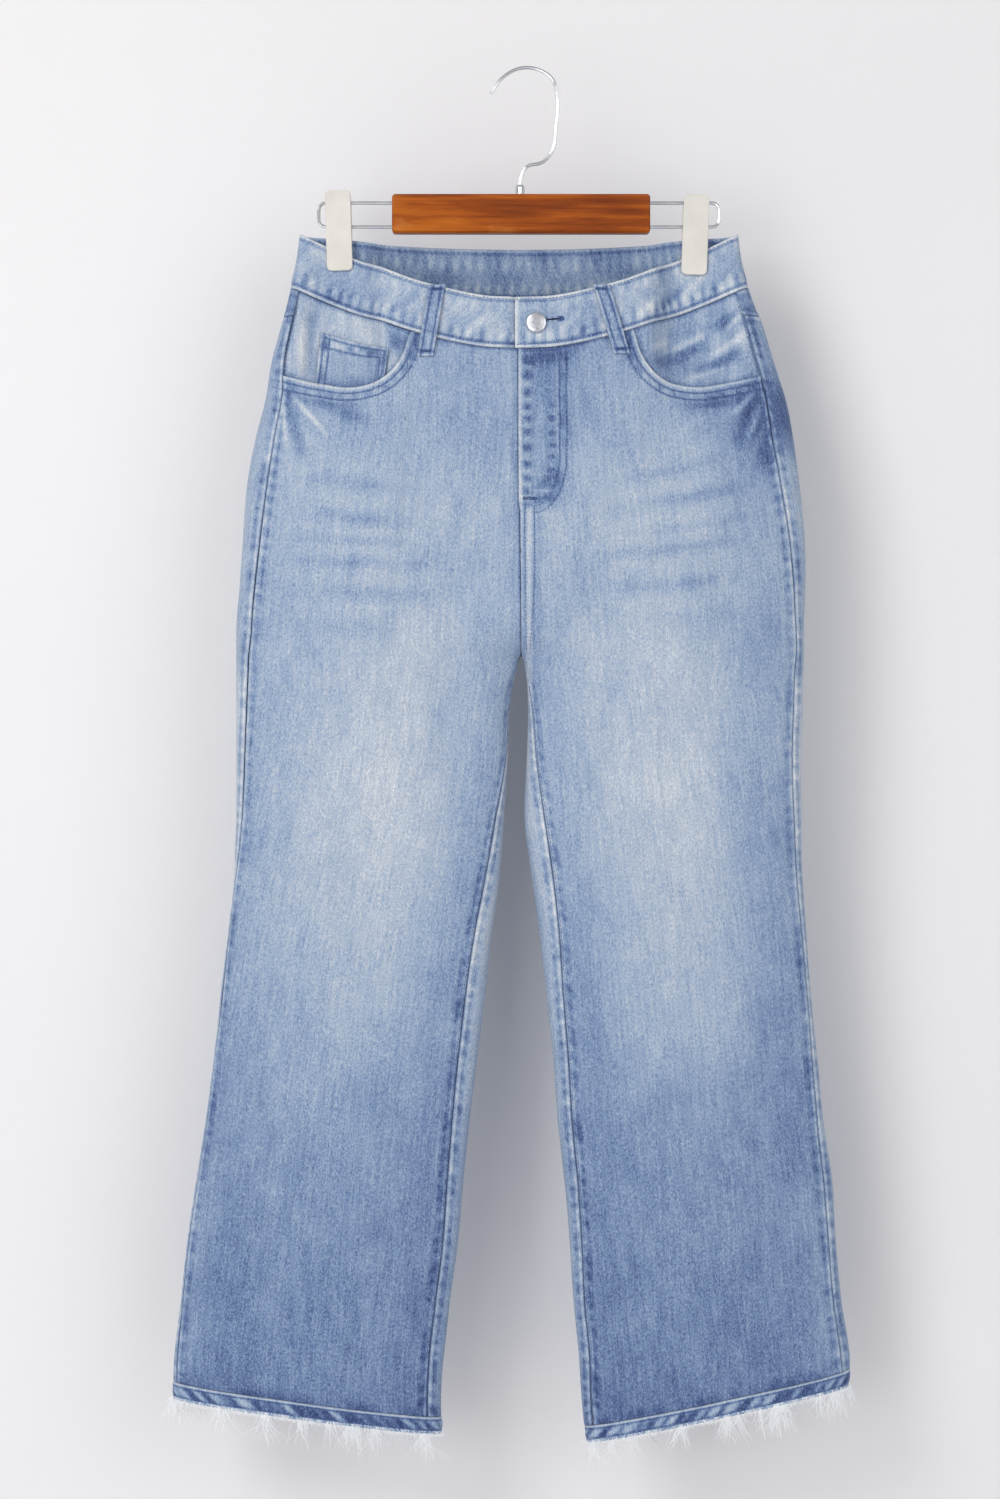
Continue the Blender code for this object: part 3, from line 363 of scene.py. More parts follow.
def panel_grid(side, start_of, end_of, top_of, bottom_of, shares, levels, span):
    """Angles and heights of a fine panel grid between seams and edges."""
    strip = Strip(side, start_of, end_of, *span)
    edges = []
    for height_of in (top_of, bottom_of):
        z = np.full(len(shares), float(height_of(np.zeros(1), np.ones(1, bool))[0]))
        for _ in range(16):
            angle = strip.angle(z, shares)
            z = height_of(surface(side, angle, z)[..., 0], np.sin(angle) > 0)
        edges.append(z)
    top, bottom = edges
    z = top + (bottom - top) * np.asarray(levels)[:, None]
    return strip.angle(z, np.broadcast_to(shares, z.shape)), z


def spaced(length, coarse, zones):
    """Shares from 0 to 1 whose spacing is coarse, and finer within each zone.

    A zone is its place along the length, its reach and its spacing.
    """
    at = np.linspace(0, length, 4000)
    step = np.full(at.shape, coarse)
    for place, reach, fine in zones:
        near = fade(np.abs(at - place), reach, reach * 2.2)
        step = np.minimum(step, coarse + (fine - coarse) * near)
    count = np.concatenate([[0], np.cumsum((1 / step[1:] + 1 / step[:-1]) / 2 * np.diff(at))])
    total = max(2, int(round(count[-1])))
    return np.interp(np.linspace(0, count[-1], total + 1), count, at) / length


def lattice(seed, shape):
    """Repeatable random values from -1 to 1."""
    return np.random.default_rng(seed).uniform(-1, 1, shape)


def wobble(along, pitch, seed):
    """A smooth line of bumps from -1 to 1, one for about every pitch."""
    values = lattice(seed, 997)
    at = along / pitch + 300
    i = np.floor(at).astype(int)
    t = at - i
    t = t * t * (3 - 2 * t)
    return values[i % 997] * (1 - t) + values[(i + 1) % 997] * t


def beat(along, pitch, seed):
    """Bumps from -1 to 1 that come round evenly, a little early or late."""
    return np.sin(2 * math.pi * (along / pitch + 0.30 * wobble(along, 2.3 * pitch, seed)))


def blotch(u, v, pitch_u, pitch_v, seed):
    """Smooth patches from -1 to 1 over a plane."""
    values = lattice(seed, (257, 263))
    a, b = u / pitch_u + 60, v / pitch_v + 160
    i, j = np.floor(a).astype(int), np.floor(b).astype(int)
    s, t = a - i, b - j
    s, t = s * s * (3 - 2 * s), t * t * (3 - 2 * t)
    i, j = i % 256, j % 262
    low = values[i, j] * (1 - s) + values[i + 1, j] * s
    high = values[i, j + 1] * (1 - s) + values[i + 1, j + 1] * s
    return low * (1 - t) + high * t


def bell(distance, width):
    """1 at no distance, fading over the width."""
    return np.exp(-(distance / width) ** 2)


def patch(x, z, centre, reach):
    """1 at a centre in the x, z plane, fading over a reach in x and in z."""
    return np.exp(-((x - centre[0]) / reach[0]) ** 2 - ((z - centre[1]) / reach[1]) ** 2)


def wash_and_shading_stack(paleness, darkening, worn):
    """The three colour shares, held between 0 and 1, as one array of colours; painted light and shade are
    among them.
    """
    shares = np.broadcast_arrays(unit(paleness), unit(darkening), unit(worn))
    return np.stack(shares, axis=-1)


def plan_uv(u, v):
    """Cloth coordinates from two arrays."""
    return np.stack([u, v], axis=-1)


def turned(*grids):
    """Grids with their columns in the other order, so that the faces look outward."""
    return tuple(grid[:, ::-1] for grid in grids)


def stroke(x, z, start, end, width, power=0.6):
    """1 along a soft line in the x, z plane, fading aside and at its ends."""
    run_x, run_z = end[0] - start[0], end[1] - start[1]
    length = math.hypot(run_x, run_z)
    along = ((x - start[0]) * run_x + (z - start[1]) * run_z) / length ** 2
    aside = ((x - start[0]) * run_z - (z - start[1]) * run_x) / length
    ends = np.sin(np.pi * unit(along)) ** power
    return ends * bell(aside, width)


def line_distance(x, z, line):
    """Distance from each x, z to a polyline, and the way along it to the nearest place."""
    line = np.asarray(line)
    best = np.full(np.broadcast(x, z).shape, 9.0)
    place = np.zeros(best.shape)
    gone = 0.0
    for (x0, z0), (x1, z1) in zip(line[:-1], line[1:]):
        run_x, run_z = x1 - x0, z1 - z0
        length = math.hypot(run_x, run_z)
        t = unit(((x - x0) * run_x + (z - z0) * run_z) / length ** 2)
        off = np.hypot(x - x0 - t * run_x, z - z0 - t * run_z)
        place = np.where(off < best, gone + t * length, place)
        best = np.minimum(best, off)
        gone += length
    return best, place


def pocket_line(side, out=0.0):
    """The scooped pocket edge in the x, z plane from the waist seam to the side, moved out."""
    sign = SIGN[side]
    start = POCKET_EDGE[0][0]
    reach = np.concatenate([np.linspace(start, start + 0.030, 40),
                            np.linspace(start + 0.031, 0.2200, 50)])
    z = across(reach, POCKET_EDGE, POCKET_EDGE_COLUMNS)
    line = np.stack([sign * reach + POCKET_SHIFT, z], axis=1)
    run = np.gradient(line, axis=0)
    run /= np.linalg.norm(run, axis=1, keepdims=True)
    aside = np.stack([run[:, 1], -run[:, 0]], axis=1) * sign
    return line + aside * out if aside[60, 1] < 0 else line - aside * out


# The J of the fly: how far right it stands, the middle and height of its bend, and where
# the fly fades out below, as a height taken down from 0
FLY_X = 0.0404
FLY_BEND = (0.0124, -0.3350)
FLY_DROP = 0.0490
FLY_END = (0.372, 0.385)

# Pitches of the puckers at the seams, the pocket edges and the fly, and a seam ridge's height
SEAM_PITCH = 0.0095
POCKET_PITCH = 0.0105
FLY_PITCH = 0.0125
HEM_PITCH = 0.0085
SEAM_RIDGE = 0.0004


def fly_row(inset):
    """One row of the J-shaped fly sewing, moved in towards the centre."""
    reach = FLY_X - FLY_BEND[0] - inset
    drop = FLY_DROP - inset
    line = [(FLY_X - inset, z) for z in np.linspace(-0.2460, FLY_BEND[1], 24)]
    turns = np.linspace(0, math.pi / 2, 20)[1:]
    return line + [(FLY_BEND[0] + reach * math.cos(a), FLY_BEND[1] - drop * math.sin(a)) for a in turns]


def arc_grid(points):
    """Distances along a grid's rows and columns from its first row and column."""
    across_rows = np.linalg.norm(np.diff(points, axis=1), axis=-1)
    down = np.linalg.norm(np.diff(points, axis=0), axis=-1)
    u = np.concatenate([np.zeros((len(points), 1)), np.cumsum(across_rows, axis=1)], axis=1)
    v = np.concatenate([np.zeros((1, points.shape[1])), np.cumsum(down, axis=0)], axis=0)
    return u, v


def sheet_mesh(name, points, uv, wash_and_shading):
    """A mesh of one grid of points, with its cloth coordinates and its colour shares, painted light and
    shade among them.
    """
    rows, columns = points.shape[:2]
    index = np.arange(rows * columns).reshape(rows, columns)
    left, right = index[:, :-1], index[:, 1:]
    quads = np.stack([left[:-1], left[1:], right[1:], right[:-1]], axis=-1).reshape(-1, 4)
    return raw_mesh(name, points.reshape(-1, 3), quads, uv.reshape(-1, 2), wash_and_shading.reshape(-1, 3))


def raw_mesh(name, verts, faces, uv=None, wash_and_shading=None):
    """A mesh from arrays, where faces all have the same number of corners."""
    data = bpy.data.meshes.new(name)
    corners = faces.shape[1]
    data.vertices.add(len(verts))
    data.vertices.foreach_set("co", np.ascontiguousarray(verts, np.float32).ravel())
    data.loops.add(faces.size)
    data.loops.foreach_set("vertex_index", faces.astype(np.int32).ravel())
    data.polygons.add(len(faces))
    data.polygons.foreach_set("loop_start", np.arange(0, faces.size, corners, dtype=np.int32))
    data.update(calc_edges=True)
    if uv is not None:
        layer = data.uv_layers.new(name="UVMap")
        layer.data.foreach_set("uv", uv[faces.ravel()].astype(np.float32).ravel())
    if wash_and_shading is not None:
        paint = data.attributes.new("wash_and_shading", "FLOAT_COLOR", "POINT")
        full = np.concatenate([wash_and_shading, np.ones((len(wash_and_shading), 1))], axis=1)
        paint.data.foreach_set("color", full.astype(np.float32).ravel())
    data.validate()
    data.shade_smooth()
    return data


def add_piece(name, data, material, replaced=(), lining=None, thickness=0.0):
    """Link a piece to its body, with its finish and the nodes that it stands for."""
    obj = bpy.data.objects.new(name, data)
    bpy.context.scene.collection.objects.link(obj)
    data.materials.append(material)
    if lining is not None:
        data.materials.append(lining)
    if thickness:
        solid = obj.modifiers.new("wall", "SOLIDIFY")
        solid.thickness = thickness
        solid.offset = -1
        solid.use_even_offset = False
        if lining is not None:
            solid.material_offset = 1
    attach(obj, "root")
    if replaced:
        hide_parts(*replaced)
    return obj


def declare_cut(piece):
    """Return the piece as it is; no flat cut is worked out here."""
    return piece


class Nodes:
    """Builds a node tree a line at a time."""

    def __init__(self, name):
        self.material = bpy.data.materials.new(name)
        self.material.use_nodes = True
        self.tree = self.material.node_tree
        self.shader = self.tree.nodes["Principled BSDF"]

    def feed(self, socket, value):
        """Set a number or colour on an input, or link a socket to it."""
        if isinstance(value, bpy.types.NodeSocket):
            self.tree.links.new(value, socket)
        else:
            socket.default_value = value

    def add(self, kind, links=(), **settings):
        """A node with its settings and its inputs."""
        node = self.tree.nodes.new(kind)
        for key, value in settings.items():
            setattr(node, key, value)
        for key, value in dict(links).items():
            self.feed(node.inputs[key], value)
        return node

    def math(self, operation, a, b=0.0, c=0.0, clamp=False):
        return self.add("ShaderNodeMath", {0: a, 1: b, 2: c}, operation=operation,
                        use_clamp=clamp).outputs[0]

    def swing(self, value, reach, base, clamp=False):
        """Let a noise value swing by its reach about a base."""
        return self.math("MULTIPLY_ADD", self.math("SUBTRACT", value, 0.5), reach, base, clamp)

    def noise(self, vector, scale, detail=2.0, roughness=0.5, distortion=0.0):
        return self.add("ShaderNodeTexNoise", {
            "Vector": vector, "Scale": scale, "Detail": detail, "Roughness": roughness,
            "Distortion": distortion}).outputs[0]

    def stretch(self, vector, scale, turn=(0, 0, 0)):
        return self.add("ShaderNodeMapping", {
            "Vector": vector, "Scale": scale, "Rotation": turn}).outputs[0]

    def ramp(self, value, stops):
        node = self.add("ShaderNodeValToRGB", {"Fac": value})
        elements = node.color_ramp.elements
        while len(elements) < len(stops):
            elements.new(0.5)
        for element, (place, colour) in zip(elements, stops):
            element.position = place
            element.color = srgb(*colour)
        return node.outputs[0]

    def mix(self, share, a, b):
        return self.add("ShaderNodeMix", {0: share, 6: a, 7: b}, data_type="RGBA").outputs[2]

    def bump(self, height, distance, strength=1.0):
        return self.add("ShaderNodeBump", {
            "Height": height, "Distance": distance, "Strength": strength}).outputs[0]

    def out(self, **sockets):
        """Set or link the shader's own sockets. Spaces in their names are written _."""
        for key, value in sockets.items():
            self.feed(self.shader.inputs[key.replace("_", " ")], value)
        return self.material


def srgb(r, g, b):
    """A colour from 0 to 255 as linear values."""
    def linear(c):
        c = c / 255
        return c / 12.92 if c <= 0.04045 else ((c + 0.055) / 1.055) ** 2.4
    return (linear(r), linear(g), linear(b), 1.0)


DENIM_STOPS = ((0.00, (48, 64, 108)), (0.20, (84, 104, 146)), (0.40, (121, 143, 176)),
               (0.58, (153, 170, 193)), (0.74, (179, 189, 202)), (1.00, (220, 223, 224)))


def denim_material(name, lift=0.0, stops=DENIM_STOPS, wash_and_shading=True):
    """Washed denim: an uneven dye that the colour-share attribute fades, deepens and wears, and that also
    carries painted light and shade.
    """
    n = Nodes(name)
    place = n.add("ShaderNodeNewGeometry").outputs["Position"]
    cloth = n.add("ShaderNodeTexCoord").outputs["UV"]
    if wash_and_shading:
        paint = n.add("ShaderNodeAttribute", attribute_name="wash_and_shading").outputs["Color"]
        paleness, darkening, worn = n.add("ShaderNodeSeparateColor", {"Color": paint}).outputs
        base = n.math("MULTIPLY_ADD", paleness, 0.53, 0.255 + lift)
        base = n.math("MULTIPLY_ADD", darkening, -0.36, base)
        base = n.math("MULTIPLY_ADD", worn, 0.34, base)
    else:
        base = 0.45 + lift
    squashed = n.stretch(place, (1.0, 1.0, 0.6))
    speck = n.noise(squashed, 800.0, 2.0, 0.65)
    slub = n.noise(n.stretch(cloth, (420.0, 22.0, 1.0)), 1.0, 2.0, 0.6)
    cloud = n.noise(squashed, 74.0, 3.0, 0.6)
    level = n.swing(cloud, 0.17, n.swing(slub, 0.34, n.swing(speck, 0.80, base)), clamp=True)
    colour = n.ramp(level, stops)
    twill = n.add("ShaderNodeTexWave", {"Vector": n.stretch(cloth, (1.0, 1.0, 1.0), (0, 0, 0.55)),
                                        "Scale": 210.0, "Distortion": 1.2, "Detail": 1.0,
                                        "Detail Scale": 2.0}, bands_direction="X").outputs[1]
    height = n.math("MULTIPLY_ADD", speck, 0.8, n.math("MULTIPLY", twill, 0.35))
    return n.out(Base_Color=colour, Roughness=0.92, Normal=n.bump(height, 0.00045, 0.55),
                 Specular_IOR_Level=0.22, Sheen_Weight=0.16, Sheen_Roughness=0.5)


# In the colour and relief functions below, bell(distance - place, width) is a soft line beside
# an edge, at its place and with its half width in metres, and the number before it is its
# weight, or its height in metres. The last number of beat, wobble and blotch is a seed.
# The colour is three shares: the first makes the dye paler, the second darker, and the third
# nearly white. Besides dye and wear, the first also holds painted light and the second painted
# shade, where noted.


def edge_ridge(distance, along, seed):
    """Relief beside a seam: a groove at the edge, a puckered ridge, then a trough."""
    pucker = 0.35 * (beat(along, 1.25 * SEAM_PITCH, seed) + wobble(along, SEAM_PITCH, seed)) + 0.65
    ridge = SEAM_RIDGE * pucker * bell(distance - 0.0022, 0.0014)
    groove = -0.0004 * bell(distance, 0.0006)
    trough = -SEAM_RIDGE * 0.7 * bell(distance - 0.0062, 0.0022) * (0.6 + 0.6 * pucker)
    return ridge + groove + trough


def seam_wear_and_shade(distance, along, seed):
    """Beside a seam: its pale worn ridge, and its dark line, flanks and patches, partly darker unworn dye
    and partly painted shade in the seam's groove and trough.
    """
    pucker = 0.55 * beat(along, 1.25 * SEAM_PITCH, seed) + 0.6 * wobble(along, SEAM_PITCH, seed)
    pale = unit(0.50 + 0.8 * pucker) * bell(distance - 0.0021, 0.0012)
    flank = unit(0.50 - 0.9 * pucker) * bell(distance - 0.0058, 0.0026)
    patches = unit(-0.1 - 0.8 * wobble(along, 1.9 * SEAM_PITCH, seed + 7)) * fade(distance, 0.003, 0.012)
    return pale, unit(flank + 0.7 * bell(distance, 0.0007) + 0.55 * patches)


def hem_wash(x, z, from_hem, reach, seed):
    """Broken dark wear just above the hem band."""
    return fade(from_hem, 0.0, reach) * unit(0.45 + 0.7 * wobble(x + 0.35 * z, HEM_PITCH, seed))


def hem_relief(x, z, from_hem, seed):
    """Leaning ripples above the hem band."""
    return 0.00045 * fade(from_hem, 0.002, 0.022) * wobble(x + 0.35 * z, HEM_PITCH, seed)


# Whiskers: dark strokes over the hips and the lap, start, end, half width and depth
WHISKERS = {
    "left": (
        (-0.186, -0.352, -0.082, -0.364, 0.0060, 0.36),
        (-0.194, -0.382, -0.074, -0.392, 0.0062, 0.40),
        (-0.198, -0.402, -0.088, -0.410, 0.0042, 0.26),
        (-0.200, -0.422, -0.070, -0.428, 0.0058, 0.40),
        (-0.204, -0.449, -0.056, -0.455, 0.0066, 0.36),
        (-0.204, -0.482, -0.080, -0.478, 0.0080, 0.16),
    ),
    "right": (
        (0.186, -0.333, 0.078, -0.360, 0.0058, 0.34),
        (0.196, -0.360, 0.070, -0.386, 0.0062, 0.42),
        (0.200, -0.385, 0.086, -0.404, 0.0042, 0.28),
        (0.202, -0.404, 0.064, -0.424, 0.0058, 0.40),
        (0.206, -0.438, 0.056, -0.450, 0.0066, 0.34),
        (0.206, -0.474, 0.080, -0.472, 0.0080, 0.16),
    ),
}


def whisker_field(side, x, z):
    """Dark strokes and the pale ground between them, over the hips."""
    sway = 0.0035 * blotch(x, z, 0.045, 0.030, 31)
    dark = np.zeros(np.broadcast(x, z).shape)
    for x0, z0, x1, z1, width, depth in WHISKERS[side]:
        grain = 0.72 + 0.38 * blotch(x, z, 0.018, 0.010, int(1000 * abs(z0)))
        line = stroke(x, z + sway, (x0, z0), (x1, z1), width, 0.75)
        dark = np.maximum(dark, depth * grain * line)
    away = np.abs(x)
    zone = bell(z + 0.405, 0.085) * fade(away, 0.185, 0.225) * (1 - fade(away, 0.045, 0.090))
    return unit(dark), zone


# Brightness of the washed cloth down the legs: at their sides, and what the middle adds
TONE_COLUMNS = ("z", "plain", "middle")
TONE = ((-1.190, 0.11, 0.00), (-1.058, 0.17, 0.00), (-0.972, 0.23, 0.02), (-0.929, 0.26, 0.06),
        (-0.886, 0.31, 0.12), (-0.843, 0.36, 0.19), (-0.800, 0.39, 0.27), (-0.757, 0.43, 0.31),
        (-0.714, 0.47, 0.34), (-0.628, 0.54, 0.34), (-0.585, 0.58, 0.28), (-0.499, 0.58, 0.20),
        (-0.456, 0.59, 0.10), (-0.353, 0.60, 0.06), (-0.310, 0.50, 0.04), (-0.200, 0.40, 0.00))


def tone(z, wanted):
    """One column of TONE at the heights z."""
    return smooth(z, column(TONE, TONE_COLUMNS, "z"), column(TONE, TONE_COLUMNS, wanted))


# Marks below the pockets: start, end, half width and strength, dark above 0 and pale below.
# The dark marks are painted shadow under the pockets and beside the pulled cloth
HIP_MARKS = {
    "left": (((-0.1985, -0.284), (-0.180, -0.345), 0.0055, 0.55),
             ((-0.1780, -0.288), (-0.130, -0.308), 0.0050, 0.42),
             ((-0.1530, -0.292), (-0.118, -0.310), 0.0050, 0.28),
             ((-0.2010, -0.279), (-0.1985, -0.328), 0.0021, -1.0),
             ((-0.1960, -0.280), (-0.162, -0.318), 0.0021, -1.0),
             ((-0.1900, -0.300), (-0.176, -0.330), 0.0030, -0.25)),
    "right": (((0.2035, -0.285), (0.186, -0.330), 0.0085, 0.75),
              ((0.2130, -0.300), (0.203, -0.350), 0.0080, 0.55),
              ((0.1750, -0.286), (0.135, -0.300), 0.0060, 0.40),
              ((0.2010, -0.279), (0.181, -0.300), 0.0022, -1.0),
              ((0.2060, -0.290), (0.191, -0.327), 0.0024, -0.9),
              ((0.2090, -0.310), (0.198, -0.338), 0.0024, -0.5)),
}
# Pulled cloth below the pockets: start, end, half width and height in metres
HIP_PULLS = {
    "left": (((-0.2000, -0.283), (-0.198, -0.316), 0.0028, 0.0022),
             ((-0.1925, -0.283), (-0.162, -0.318), 0.0034, 0.0022),
             ((-0.1960, -0.290), (-0.180, -0.330), 0.0030, -0.0016)),
    "right": (((0.2005, -0.283), (0.182, -0.304), 0.0028, 0.0020),
              ((0.2050, -0.295), (0.193, -0.330), 0.0034, 0.0022),
              ((0.2020, -0.290), (0.186, -0.322), 0.0030, -0.0016)),
}


def front_wash_and_shading(side, x, z, from_side, from_in, from_top, from_hem, along):
    """Wash over a front panel, with painted light and shade beside its seams and at its pocket."""
    sign = SIGN[side]
    middle = spread(side, z)[0]
    middle = np.where(z > -0.52, middle + (sign * 0.125 - middle) * fade(-z, 0.44, 0.52), middle)
    bump = np.exp(-np.abs((x - middle) / 0.068) ** 2.4)
    dark, zone = whisker_field(side, x, z)
    cloud = blotch(x, z, 0.030, 0.055, 5) * 0.07 + blotch(x, z, 0.011, 0.020, 6) * 0.05
    below = 1 - fade(-z, 0.500, 0.535)
    pale_a, dark_a = seam_wear_and_shade(from_side, along, 11 + sign)
    pale_b, dark_b = (share * below for share in seam_wear_and_shade(from_in, along, 17 + sign))
    paleness = unit(tone(z, "plain") + tone(z, "middle") * bump + cloud)
    # Painted light: paler beside the side seam low on the legs and beside the inseam, lifting the shade
    # where the cloth turns away.
    paleness += 0.22 * fade(from_side, 0.004, 0.030) * fade(z, -1.02, -0.90)
    paleness += 0.10 * fade(from_in, 0.004, 0.022) * below
    edge_dark, edge_pale = front_edges(side, x, z, from_in)
    darkening = 1.15 * dark + 0.17 * fade(from_in, 0.014, 0.056) * below + 0.05 * fade(from_side, 0.0, 0.034)
    if side == "right":
        darkening += 0.24 * bell(from_side - 0.034, 0.028) * fade(-z, 0.85, 1.00)
        darkening += 0.66 * fade(from_side, 0.0, 0.044) * bell(z + 0.302, 0.044)
    darkening += 0.10 * fade(from_hem, 0.0, 0.040) + 0.55 * hem_wash(x, z, from_hem, 0.012, 41)
    darkening += 0.66 * dark_a + 0.80 * dark_b + edge_dark
    between = zone * unit(0.75 - 1.8 * dark) * 0.12
    return wash_and_shading_stack(paleness, darkening, np.maximum(pale_a, pale_b) * 0.80 + between + edge_pale)


def front_edges(side, x, z, from_in):
    """Dark and pale marks at the pocket rim, the waist seam, the hip and the centre."""
    away = np.abs(x)
    rim, way = line_distance(x, z, pocket_line(side))
    top = waist_seam_z(x, True) - z
    patchy = 0.40 * (beat(way, POCKET_PITCH, 191 + SIGN[side]) + wobble(way, 0.0080, 193))
    patchy = unit(0.45 + patchy)
    dark = 0.80 * (bell(rim - 0.0053, 0.0009) + bell(rim - 0.0113, 0.0009))
    dark += 0.55 * bell(rim - 0.0083, 0.0026) * (1 - patchy)
    # Painted shadow under the pocket rim: dark bands below it, towards the centre.
    dark += 0.102 * bell(rim - 0.0150, 0.0030) * fade(away, 0.150, 0.120)
    dark += 0.42 * bell(rim - 0.0160, 0.0040) * fade(away, 0.150, 0.130) * (1.1 - 0.6 * patchy)
    # Painted shadow under the waistband: a dark line and patchy dark just below the waist seam.
    seam = 0.75 * bell(top - 0.0012, 0.0010)
    seam += 0.45 * fade(top, 0.001, 0.010) * unit(0.3 - wobble(x, 0.013, 195))
    dark += seam * fade(away, 0.100, 0.112) + 0.65 * patch(away, z, (0.093, -0.241), (0.008, 0.012))
    pale = 0.95 * bell(rim - 0.0012, 0.0013) + 0.22 * bell(rim - 0.0083, 0.0024) * patchy
    pale += 0.10 * fade(rim, 0.012, 0.018)
    # The dark hip marks are painted shadow; the pale ones make the cloth paler.
    for start, end, width, depth in HIP_MARKS[side]:
        mark = stroke(x, z, start, end, width)
        dark += max(depth, 0) * mark
        pale += max(-depth, 0) * mark
    centre_dark, centre_pale = (left_centre if side == "left" else right_centre)(x, z, from_in)
    return dark + centre_dark, pale + centre_pale


def left_centre(x, z, from_in):
    """Dark marks on the left panel beside the centre seam, painted shadow of the fly's lap over it, and a
    pale mark.
    """
    dark = 0.75 * bell(from_in - 0.0004, 0.0008) + 0.16 * bell(from_in - 0.0040, 0.0030)
    return dark, 0.10 * bell(from_in - 0.0080, 0.0030) * fade(-z, *FLY_END)


def right_centre(x, z, from_in):
    """Dark and pale marks on the fly, and on the centre seam below it."""
    fly = fade(-z, *FLY_END)
    low = 1 - fly
    sewn = fly * (z < -0.246)
    row = fly_distance(x, z)
    strip = bell(x - 0.0070, 0.0036) * fly
    second = bell(x - 0.0280, 0.0030) * fly * fade(z, -0.300, -0.285)
    buckle = beat(z, FLY_PITCH, 197)
    dark = strip * unit(0.10 - 0.55 * buckle) + 0.34 * strip * (z > -0.270)
    dark += second * unit(0.05 - 0.9 * beat(z, 0.0115, 199))
    dark += 0.48 * bell(x - 0.0210, 0.0190) ** 0.7 * fly
    dark += 0.55 * (bell(row, 0.0008) + bell(row - 0.0060, 0.0008)) * sewn
    dark += 0.40 * sewn * bell(row - 0.0030, 0.0034) * unit(0.55 - 0.6 * wobble(z, 0.0070, 198))
    dark += 0.75 * patch(x, z, (0.0230, -0.2500), (0.0220, 0.0075))
    dark += 0.85 * stroke(x, z, (0.0110, -0.3690), (0.0370, -0.3480), 0.0050)
    dark += low * 0.45 * (bell(x - 0.0043, 0.0010) + bell(x - 0.0125, 0.0010) + bell(from_in, 0.0009))
    dark += low * 0.22 * bell(x - 0.0165, 0.0030)
    pale = 0.35 * bell(x - 0.0180, 0.0050) * fly * bell(z + 0.320, 0.045)
    pale += 0.8 * strip * unit(0.75 * buckle - 0.05) + fly * bell(from_in - 0.0010, 0.0013)
    pale += 0.80 * stroke(x, z, (0.0060, -0.3655), (0.0300, -0.3640), 0.0020)
    pale += 0.25 * bell(row - 0.0085, 0.0016) * sewn
    pale += low * 0.45 * (bell(x - 0.0083, 0.0022) + bell(x - 0.0018, 0.0011))
    return dark, pale


def fly_distance(x, z):
    """How far inside the outer row of the J-shaped fly sewing a place lies, or far off."""
    across_x = (x - FLY_BEND[0]) / (FLY_X - FLY_BEND[0])
    across_z = np.minimum(z - FLY_BEND[1], 0) / FLY_DROP
    round_bend = np.sqrt(np.maximum(across_x, 0) ** 2 + across_z ** 2)
    return (1 - round_bend) * (FLY_X - FLY_BEND[0]) * np.where(across_x > 0, 1, 1.3)


# Creases across the back of a leg: height, tilt, how much darker the crease is made and depth in
# millimetres
BACK_CREASES = ((-0.505, -0.010, 0.50, 1.5), (-0.530, 0.006, 0.55, 1.6), (-0.560, 0.012, 0.40, 1.2),
                (-0.815, 0.010, 0.35, 0.9), (-0.840, -0.008, 0.40, 1.0), (-0.868, 0.006, 0.30, 0.8))


def back_crease(side, x, z, height, tilt):
    """1 along one crease of the back, fading aside."""
    sign = SIGN[side]
    return stroke(x, z, (sign * 0.045, height), (sign * 0.190, height + tilt), 0.008)


def back_wash_and_shading(side, x, z, from_side, from_in, from_top, from_hem, along):
    """Wash over a back panel, with painted light beside its seams low on the leg and painted shade at
    them.
    """
    sign = SIGN[side]
    away = np.abs(x)
    seat = bell(away - 0.105, 0.072) * bell(z + 0.42, 0.11)
    thigh = bell(away - 0.125, 0.075) * bell(z + 0.64, 0.16) * 0.45
    creases = np.zeros(x.shape)
    for k, (height, tilt, depth, _) in enumerate(BACK_CREASES):
        sway = 0.004 * blotch(x, z, 0.04, 0.03, 51 + k)
        creases = np.maximum(creases, depth * back_crease(side, x, z + sway, height, tilt))
    cloud = blotch(x + 0.4, z, 0.034, 0.060, 8) * 0.16 + blotch(x, z, 0.012, 0.020, 9) * 0.10
    below = 1 - fade(-z, 0.500, 0.540)
    paleness = tone(z, "plain") + 0.02 + 0.42 * seat + 0.50 * thigh + 0.5 * cloud
    # Painted light: paler beside the side seam and, below the crotch, beside the inseam, lifting the shade
    # where the cloth turns away.
    paleness = unit(paleness + 0.05 * fade(from_side, 0.010, 0.030))
    paleness += below * (0.26 * fade(from_in, 0.012, 0.030) + 0.24 * fade(from_side, 0.008, 0.026))
    pale_a, dark_a = seam_wear_and_shade(from_side, along, 61 + sign)
    pale_b, dark_b = seam_wear_and_shade(from_in, along, 67 + sign)
    pale_c, dark_c = seam_wear_and_shade(from_top, x, 71 + sign)
    darkening = 0.6 * creases + 0.10 * fade(from_in, 0.030, 0.075) * (1 - below * fade(from_in, 0.0, 0.030))
    darkening += 0.048 * fade(from_side, 0.002, 0.030) * (1 - below)
    if side == "right":
        darkening += 1.08 * fade(from_side, 0.018, 0.034) * bell(z + 0.298, 0.036)
    darkening += 0.09 * fade(from_hem, 0.0, 0.050) + 0.5 * hem_wash(x, z, from_hem, 0.014, 43)
    darkening += 0.90 * (dark_a + dark_b) + 0.75 * dark_c
    return wash_and_shading_stack(paleness, darkening, (pale_a + pale_b + pale_c) * 0.85 + seat ** 2 * 0.15)


